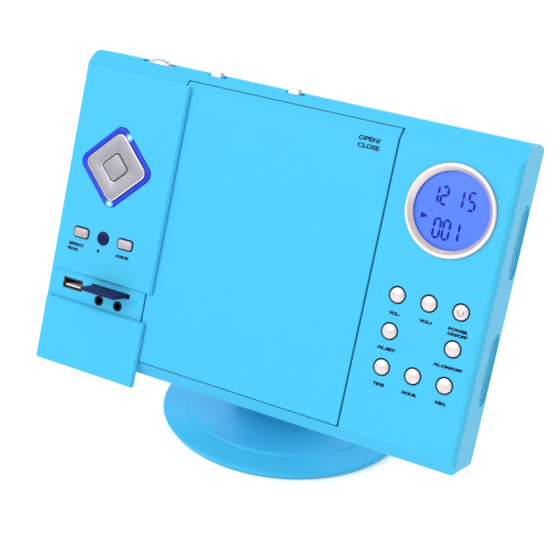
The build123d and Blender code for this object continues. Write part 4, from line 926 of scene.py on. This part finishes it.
b = bar_tree
b_in = b.nodes.new("NodeGroupInput")
bar_info = b.nodes.new("GeometryNodeObjectInfo")
join(b, b_in.outputs["Bar"], bar_info.inputs["Object"])
turn_xyz = b.nodes.new("ShaderNodeCombineXYZ")
join(b, point_value(b, "turn", "FLOAT"), turn_xyz.inputs["Z"])
placed = b.nodes.new("GeometryNodeInstanceOnPoints")
join(b, b_in.outputs["Geometry"], placed.inputs["Points"])
join(b, bar_info.outputs["Geometry"], placed.inputs["Instance"])
join(b, turn_xyz.outputs[0], placed.inputs["Rotation"])
join(b, point_value(b, "size", "FLOAT_VECTOR"), placed.inputs["Scale"])
finish_tree(b, placed.outputs["Instances"], b_in.outputs["Finish"])


def on_points(places, shape, material):
    """Copies of a shape at places, each (x, y, z, turn, (sx, sy, sz)), as one plain mesh."""
    seed = bpy.data.meshes.new("points")
    seed.from_pydata([p[:3] for p in places], [], [])
    turns = seed.attributes.new("turn", "FLOAT", "POINT")
    sizes = seed.attributes.new("size", "FLOAT_VECTOR", "POINT")
    for i, place in enumerate(places):
        turns.data[i].value = place[3]
        sizes.data[i].vector = place[4]
    model = bpy.data.objects.new("model", shape)
    bpy.context.scene.collection.objects.link(model)
    made = grow(bar_tree, seed, {"Bar": model, "Finish": material})
    bpy.data.objects.remove(model)
    return made


print("bars_on_points has", len(b.nodes), "nodes")

# %% Digits


def flat_shape(outline, thickness):
    """A thin plate with the given outline."""
    bm = bmesh.new()
    bottom = [bm.verts.new((x, y, 0)) for x, y in outline]
    top = [bm.verts.new((x, y, thickness)) for x, y in outline]
    bm.faces.new(list(reversed(bottom)))
    bm.faces.new(top)
    for i in range(len(outline)):
        k = (i + 1) % len(outline)
        bm.faces.new((bottom[i], bottom[k], top[k], top[i]))
    return mesh_from(bm, "flat_shape")


bar_length, bar_width, bar_gap, bar_thickness = 3.0, 1.3, 0.2, 0.06
half, side = bar_length / 2, bar_width / 2
bar_outline = [(-half, 0), (-half + side, -side), (half - side, -side),
               (half, 0), (half - side, side), (-half + side, side)]
digit_width = 3.5
lit_bars = {"0": "abcdef", "1": "bc", "2": "abged", "5": "afgcd"}
bar_middles = {"a": (0, 1, 0), "g": (0, 0, 0), "d": (0, -1, 0), "b": (0.5, 0.5, 1), "c": (0.5, -0.5, 1),
               "f": (-0.5, 0.5, 1), "e": (-0.5, -0.5, 1)}


def digit_places(digit, x, y, height):
    """Where the bars of one digit lie, round its middle."""
    places = []
    for bar in lit_bars[digit]:
        across, up, upright = bar_middles[bar]
        long = height / 2 if upright else digit_width
        turn = math.pi / 2 if upright else 0.0
        middle = (x + across * digit_width, y + up * height / 2, cell_top)
        places.append((*middle, turn, ((long - bar_gap) / bar_length, 1, 1)))
    return places


rows = [(54.5, 9.3, [("1", 91.6), ("2", 96.9), ("1", 105.5), ("5", 112.2)]),
        (37.0, 10.0, [("0", 96.4), ("0", 101.7), ("1", 106.9)])]
bars = []
for y, height, digits in rows:
    for digit, x in digits:
        bars += digit_places(digit, x, y, height)
digit_mesh = on_points(bars, flat_shape(bar_outline, bar_thickness), segment_ink)
signs = [moved_mesh(flat_shape(outline, bar_thickness), 0, 0, cell_top) for outline in (
    [(86.3, 40.2), (90.5, 41.9), (86.3, 43.6)],
    [(90.1, 45.3), (92.5, 45.4), (92.5, 45.8), (90.1, 45.7)],
)]
add_piece("display_digits", joined(digit_mesh, *signs), "housing", segment_ink)
print("bars in the display:", len(bars))

# %% [markdown]
# ## Round buttons
#
# Eight domed buttons sit in a square of three by three without its middle. Each one is pressed by
# itself, so each is a piece of its own. One profile serves them all: a skirt, a small round edge and a
# low dome. The profile goes through the turning tree, and every button rides on the body of its own
# joint.

# %% Buttons
button_radius, button_proud, button_dome = 4.1, 0.9, 0.8
button_columns, button_rows = (83.95, 102.1, 120.25), (-2.75, -22.85, -42.95)
bare_middle = (button_columns[1], button_rows[1])
button_centres = [(x, y) for y in button_rows for x in button_columns if (x, y) != bare_middle]
ball = (button_radius**2 + button_dome**2) / (2 * button_dome)


def dome_at(radius):
    """The height of the button's dome at a radius."""
    return button_proud - ball + math.sqrt(ball**2 - radius**2)


stem_radius, stem_low = 1.6, -5.5
flange_radius, flange_low, flange_top = 5.5, -3.2, -2.5
edge_radius, edge_height = 3.9, dome_at(button_radius)
button_profile = [(0, stem_low), (stem_radius, stem_low), (stem_radius, flange_low),
                  (flange_radius, flange_low), (flange_radius, flange_top), (button_radius, flange_top),
                  (button_radius, edge_height - 0.25), (button_radius - 0.06, edge_height - 0.02)]
dome_radii = [edge_radius * (1 - i / 8) for i in range(9)]
button_profile += [(r, dome_at(r)) for r in dome_radii]
for number, (x, y) in enumerate(button_centres, 1):
    mesh = turned(button_profile, 48, pearl_silver)
    # Painted shade: the skirt below the cap is dark navy, so the gap round the button reads dark.
    second_finish(mesh, lambda centre, normal: centre.z < -0.3)
    add_piece(f"round_button_{number}", moved_mesh(mesh, x, y), f"press_{number}",
              [pearl_silver, painted_gap_shade], [f"button_{number}"], 50.0)
print("buttons:", len(button_centres))

# %% [markdown]
# ## Direction pad, its clear frame and the middle button
#
# The pad is a square that stands on its corner. It is painted silver with a fine grain, and it stands
# proud of a clear blue frame with two painted glints, emission where no lamp is. The middle button is
# the same silver, and its lower part is dark navy, painted shade that makes the gap around it read dark.
# All three are stacks of rings, turned by 45 degrees.

# %% Pad group
pad_x, pad_y = -100.4, 25.9


def diamond(side, corner, steps=10):
    """The outline of a square that stands on its corner."""
    return rounded_rectangle(side, side, corner, math.radians(45), steps)


frame_outline, frame_hole = diamond(36.8, 6.0), diamond(31.7, 5.15)
frame_rings = [(0, 0.0), (0, 2.6), (0.1, 3.0), (0.35, 3.28), (0.75, 3.4)]
hole_rings = [(-0.45, 3.36), (-0.12, 3.1), (0, 2.7), (0, 0.0)]
ring_mesh = stack(frame_rings, frame_outline, frame_hole, hole_rings, (pad_x, pad_y))
add_piece("pad_frame", ring_mesh, "housing", clear_blue, ["light_ring"], 45.0)

pad_outline, pad_hole = diamond(31.0, 4.8), diamond(13.8, 2.8)
pad_low, pad_top = -1.2, 3.9
pad_rings = [(0, pad_low), (0, 2.9), (0.12, 3.35), (0.4, 3.66), (0.75, 3.84), (1.1, pad_top)]
pad_hole_rings = [(-0.25, pad_top), (-0.06, 3.82), (0, 3.6), (0, pad_low)]
pad_mesh = stack(pad_rings, pad_outline, pad_hole, pad_hole_rings, (pad_x, pad_y))
second_finish(pad_mesh, lambda centre, normal: normal.z < 0.98)
add_piece("direction_pad", pad_mesh, "pad", [brushed_silver, ring_silver],
          ["nav_pad"], 45.0)

middle_rings = [(-1.3, -3.4), (-1.3, -2.2), (0, -2.2), (0, 3.6), (0.1, 4.0), (0.35, 4.3), (0.7, 4.4)]
middle = stack(middle_rings, diamond(12.6, 2.2, 8), at=(pad_x, pad_y))
# Painted shade: the dark navy lower part darkens the gap round the middle button.
second_finish(middle, lambda centre, normal: centre.z < 3.3)
add_piece("middle_button", middle, "play", [brushed_silver, painted_gap_shade],
          ["play_button"], 45.0)
print("pad group made")

# %% [markdown]
# ## Keys and the receiver window
#
# Two small silver keys lie under the pad with a dark round window between them. The keys have a soft
# top, and the window is a low dome of smoky plastic that lets the remote control's light in.

# %% Keys and window
key_y = -16.8
key_outline = rounded_rectangle(9.6, 5.4, 1.6)
key_rings = [(-0.9, -3.6), (-0.9, -2.6), (0, -2.6), (0, 3.1), (0.12, 3.45), (0.4, 3.7), (0.8, 3.8)]
keys = [("repeat_cap", "repeat", "repeat_key", -115.8), ("album_cap", "album", "album_key", -85.0)]
for name, body, node, x in keys:
    key = stack(key_rings, key_outline, at=(x, key_y))
    # Painted shade: the dark navy lower part darkens the gap round each key.
    second_finish(key, lambda centre, normal: centre.z < 2.4)
    add_piece(name, key, body, [key_silver, painted_gap_shade], [node], 45.0)
window_radius = 4.0
window_profile = [(0, 0), (window_radius, 0), (window_radius, 2.6), (3.9, 2.85), (3.6, 3.0), (1.8, 3.08),
                  (0, 3.1)]
window_mesh = turned(window_profile, 40, smoke_blue)
add_piece("receiver_window", moved_mesh(window_mesh, pad_x, key_y), "housing",
          smoke_blue, ["ir_window"], 40.0)
print("two keys and a window made")

# %% [markdown]
# ## Thumbwheel and slide switches in the top edge
#
# A grooved wheel stands out of the top edge on the left, and two small knobs slide in slots. The
# wheel's grooves repeat round its rim, so a tree puts one rounded rib on each point of a circle. The
# knobs are stacks of rings: a cap with rounded edges, and a carriage and a stem that reach down into
# the switch.

# %% Wheel
wheel_x, wheel_y, wheel_z = -91.4, 80.75, -10.4
wheel_radius, wheel_half, bore_radius, core_radius, core_ease = 11.8, 2.1, 2.05, 10.9, 0.35
rib_count, rib_reach = 28, wheel_radius - 0.78
face_radius = core_radius - 0.5
core_profile = [(bore_radius, -wheel_half), (face_radius, -wheel_half),
                (core_radius, -wheel_half + core_ease), (core_radius, wheel_half - core_ease),
                (face_radius, wheel_half), (bore_radius, wheel_half), (bore_radius, -wheel_half)]
rib = stack(eased_rings(-wheel_half, wheel_half, 0.45, 0.45, 3), rounded_rectangle(1.5, 1.9, 0.7, 0, 4))
rib_places = []
for i in range(rib_count):
    a = 2 * math.pi * (i + 0.5) / rib_count
    rib_places.append((rib_reach * math.cos(a), rib_reach * math.sin(a), 0, a, (1, 1, 1)))
wheel = joined(turned(core_profile, 96, knob_silver), on_points(rib_places, rib, knob_silver))
add_piece("thumbwheel", moved_mesh(wheel, wheel_x, wheel_y, wheel_z), "wheel",
          knob_silver, ["volume_wheel"], 40.0)
print("ribs on the wheel:", rib_count)

# %% Knobs
facing_up = Matrix.Rotation(math.radians(-90), 4, "X")
facing_down = Matrix.Rotation(math.radians(90), 4, "X")
knob_width, knob_shift = 7.6, -1.5
cap_rings = [(0, -2.8), (0, 1.2), (0.12, 1.6), (0.4, 1.88), (0.8, 2.0)]
knobs = [("left_knob", "function_knob", "function_switch", -51.9),
         ("right_knob", "band_knob", "band_switch", -2.2)]
for name, body, node, x in knobs:
    cap = stack(cap_rings, rounded_rectangle(knob_width, 4.2, 1.1))
    cap.transform(facing_up)
    stem = stack([(0, 0), (0, 3.0)], rounded_rectangle(3.2, 2.0, 0.2))
    stem.transform(facing_down)
    carriage = stack([(0, 0), (0, 1.6)], rounded_rectangle(knob_width, 10.9, 0.4))
    carriage.transform(facing_down)
    middle = x + knob_shift
    knob = joined(moved_mesh(cap, middle, 90.25, -10.3), moved_mesh(carriage, middle, 87.75, -15.05),
                  moved_mesh(stem, middle, 86.3, -18.5))
    add_piece(name, knob, body, knob_silver, [node], 40.0)
print("knobs made:", len(knobs))

# %% [markdown]
# ## Sockets and the memory card
#
# The cover has slid down, so a USB socket, a memory card in its slot and two round jacks can be seen.
# The socket is folded sheet metal with a white tongue in it. The card is navy plastic with one corner
# cut off, and it sticks out of its slot.

# %% Card
card_x, card_y = -90.8, -46.6
card_half, card_out, card_in, card_cut, card_round = 12.0, 14.5, 17.5, 4.0, 1.0


def card_outline(inset):
    """The card seen from above: x across, and the second number out of the slot."""
    half, near, far = card_half - inset, card_out - inset, -card_in + inset
    points = [(-half, far), (half - card_cut, far), (half, far + card_cut)]
    for middle, start in ((half - card_round, 0), (-half + card_round, 90)):
        points += bend((middle, near - card_round), card_round, start, start + 90, 4)
    return points


half_thickness, card_ease = 1.05, 0.25
card = stack(eased_rings(-half_thickness, half_thickness, card_ease, card_ease, 2), card_outline)
card.transform(facing_down)
add_piece("navy_card", moved_mesh(card, card_x, card_y), "card", card_navy,
          ["memory_card"], 30.0)
print("card made")

# %% Sockets
usb_x, usb_y, usb_wall = -117.2, -48.9, 0.4
usb_wide, usb_high, usb_floor = 12.3, 5.1, -13.6
usb_outline = rounded_rectangle(usb_wide + 2 * usb_wall, usb_high + 2 * usb_wall, 0.8, 0, 5)
usb_inner = rounded_rectangle(usb_wide, usb_high, 0.5, 0, 5)
usb_rings = [(0, -14.0), (0, 0.1), (0.1, 0.2)]
usb_inner_rings = [(-0.1, 0.2), (0, 0.1), (0, usb_floor)]
usb = stack(usb_rings, usb_outline, usb_inner, usb_inner_rings, (usb_x, usb_y))
add_piece("usb_shell", usb, "housing", socket_metal, ["usb_socket"], 40.0)
back_plate = stack([(0, -13.9), (0, usb_floor)], usb_inner, at=(usb_x, usb_y))
add_piece("usb_inside", back_plate, "housing", inner_black)
tongue_drop = 1.3
tongue = stack(eased_rings(usb_floor, -0.8, 0.0, 0.3, 3), rounded_rectangle(10.9, 1.1, 0.3, 0, 4),
               at=(usb_x, usb_y - tongue_drop))
add_piece("usb_tongue_bar", tongue, "housing", white_plastic,
          ["usb_tongue"], 40.0)
for name, node in (("left_jack", "headphone_jack"), ("right_jack", "line_in_jack")):
    eased_copy(node, name, jack_black, 0.2)
print("sockets made")

# %% [markdown]
# ## Printed marks
#
# Small dark words tell what each control does, such as its hour, its volume or on and off. Letters come
# from Blender's own font as a text curve, turned into a mesh and fitted to the width that the print
# has. The sign on the power button is a path, and a tree sweeps a flat strip of ink along it. Both are
# a few hundredths of a millimetre thick, so they lie on the face like print.

# %% Tree that sweeps ink along paths
ink_thickness = 0.05
ink_tree = geometry_tree("ink_along_paths", [
    ("Line Width", "NodeSocketFloat", 0.5),
    ("Ink Thickness", "NodeSocketFloat", ink_thickness),
    ("Finish", "NodeSocketMaterial", None),
])
k = ink_tree
k_in = k.nodes.new("NodeGroupInput")
as_curve = k.nodes.new("GeometryNodeMeshToCurve")
join(k, k_in.outputs["Geometry"], as_curve.inputs["Mesh"])
strip = k.nodes.new("GeometryNodeCurvePrimitiveQuadrilateral")
join(k, k_in.outputs["Line Width"], strip.inputs["Width"])
join(k, k_in.outputs["Ink Thickness"], strip.inputs["Height"])
swept = k.nodes.new("GeometryNodeCurveToMesh")
join(k, as_curve.outputs["Curve"], swept.inputs["Curve"])
join(k, strip.outputs["Curve"], swept.inputs["Profile Curve"])
swept.inputs["Fill Caps"].default_value = True
finish_tree(k, swept.outputs["Mesh"], k_in.outputs["Finish"])


def printed(paths, width, material, lift):
    """A mesh of ink strips along paths of (x, y) points, lift above the face."""
    points, edges = [], []
    for path_points in paths:
        first = len(points)
        points += [(x, y, lift) for x, y in path_points]
        edges += [(first + i, first + i + 1) for i in range(len(path_points) - 1)]
    seed = bpy.data.meshes.new("paths")
    seed.from_pydata(points, edges, [])
    values = {"Line Width": width, "Ink Thickness": ink_thickness, "Finish": material}
    return grow(ink_tree, seed, values)


print("ink_along_paths has", len(k.nodes), "nodes")

# %% Words in mesh letters
letter_height, door_letter_height = 1.9, 2.6
capital_height, word_rise = 0.7, 0.02


def words(text, x, y, width, height=letter_height, lift=0.0, bold=0.085):
    """A word as a thin mesh with its middle at x, y, made to fit a width and a height of letters."""
    curve = bpy.data.curves.new("word", "FONT")
    curve.body = text
    curve.align_x = "CENTER"
    curve.offset = bold
    curve.extrude = 0.01
    curve.resolution_u = 3
    carrier = bpy.data.objects.new("word", curve)
    bpy.context.scene.collection.objects.link(carrier)
    graph = bpy.context.evaluated_depsgraph_get()
    mesh = bpy.data.meshes.new_from_object(carrier.evaluated_get(graph))
    bpy.data.objects.remove(carrier)
    across = [v.co.x for v in mesh.vertices]
    capital = capital_height + 2 * bold
    fit = Matrix.Diagonal((width / (max(across) - min(across)), height / capital, 1.0, 1.0))
    middle = Matrix.Translation((-(max(across) + min(across)) / 2, bold - capital / 2, 0.0))
    mesh.transform(Matrix.Translation((x, y, lift + word_rise)) @ fit @ middle)
    return mesh


face_words = [("VOL-", 84.4, -12.8, 6.4), ("VOL+", 102.6, -12.6, 7.6), ("POWER", 121.0, -12.5, 11.2),
              ("ON/OFF", 121.0, -15.1, 11.3), ("AL.SET", 84.3, -32.5, 11.0),
              ("AL.ON/OFF", 119.8, -32.9, 16.4), ("TIME", 84.3, -52.4, 6.7), ("HOUR", 102.4, -52.7, 8.7),
              ("MIN.", 120.4, -52.6, 6.3)]
panel_words = [("REPEAT/", -117.8, -24.4, 10.4), ("PROG.", -119.7, -27.4, 7.6),
               ("IR", -102.1, -24.7, 2.0), ("ALBUM", -85.7, -24.3, 9.0)]
door_words = [("OPEN/", 49.9, 74.6, 13.2), ("CLOSE", 50.0, 70.6, 13.0)]
panel_top = 2.8
on_face = [words(*word) for word in face_words]
on_panel = [words(*word, lift=panel_top) for word in panel_words]
on_door = [words(*word, height=door_letter_height, bold=0.045) for word in door_words]
add_piece("face_words", joined(*on_face), "housing", ink)
add_piece("panel_words", joined(*on_panel), "housing", ink)
add_piece("door_words", joined(*on_door), "door", ink)
print("words printed:", len(face_words) + len(panel_words) + len(door_words))

# %% Sign on the power button
power_x, power_y = button_centres[2]
sign_radius, sign_width, sign_lift = 1.6, 0.4, 0.84
power_ring = bend((power_x, power_y - 0.2), sign_radius, 125, 415, 20)
power_bar = [(power_x, power_y + 0.2), (power_x, power_y + 2.0)]
power_sign = printed([power_ring, power_bar], sign_width, sign_grey, sign_lift)
add_piece("power_sign", power_sign, "press_3", sign_grey)
print("power sign printed")

# %% [markdown]
# ## Behind the door and at the back
#
# The drive is hidden while the door is shut, but the door opens, so each of its pieces has its own
# finish. Each is a copy of its solid with eased edges. Screws and gears keep their edges, which are too
# fine to ease.

# %% Finishes of the other solids
plain = [
    ("turntable", inner_black, "inner_black", 0.15),
    ("pickup_sled", inner_black, "inner_black", 0.15),
    ("mech_chassis", inner_black, "inner_black", 0.2),
    ("touch_latch", white_plastic, "white_plastic", 0.15),
    ("guide_rods", bright_steel, "bright_steel", 0.15),
    ("hinge_pins", bright_steel, "bright_steel", 0.1),
    ("dampers", rubber, "rubber", 0.15),
    ("damper_screws", bright_steel, "bright_steel", 0.0),
    ("shell_screws", bright_steel, "bright_steel", 0.0),
    ("inner_screws", bright_steel, "bright_steel", 0.0),
    ("neck_screws", bright_steel, "bright_steel", 0.0),
    ("spindle_motor", weight_steel, "weight_steel", 0.2),
    ("sled_motor", weight_steel, "weight_steel", 0.2),
    ("objective_lens", eye_clear, "clear_lens", 0.1),
    ("sled_gear", white_plastic, "white_plastic", 0.0),
    ("motor_pinion", white_plastic, "white_plastic", 0.0),
    ("power_inlet", inner_black, "inner_black", 0.15),
    ("base_pad", rubber, "rubber", 0.2),
]
for node, material, slot_name, ease in plain:
    eased_copy(node, f"{node}_finished", material, ease)
print("copies with finishes:", len(plain))

# %% Materials of the solids that stay
kept = {
    "base_weight": weight_steel,
    "card_socket": socket_metal,
    "display_board": board_green,
    "key_board": board_green,
    "port_board": board_green,
    "volume_control": inner_black,
    "slide_switches": socket_metal,
    "left_speaker": inner_black,
    "right_speaker": inner_black,
}
for node, material in kept.items():
    mesh = nodes[node].data
    mesh.materials.clear()
    mesh.materials.append(material)
print("solids kept with new materials:", len(kept))

# %% Sizes and finish
shown_low, shown_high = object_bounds()
lines = [f'  "{name}": {[round(v, 6) for v in corner]}' for name, corner in (
    ("cad_low", cad_low), ("cad_high", cad_high), ("visual_low", shown_low), ("visual_high", shown_high))]
print("size of the object:", [round(v, 4) for v in shown_high - shown_low])
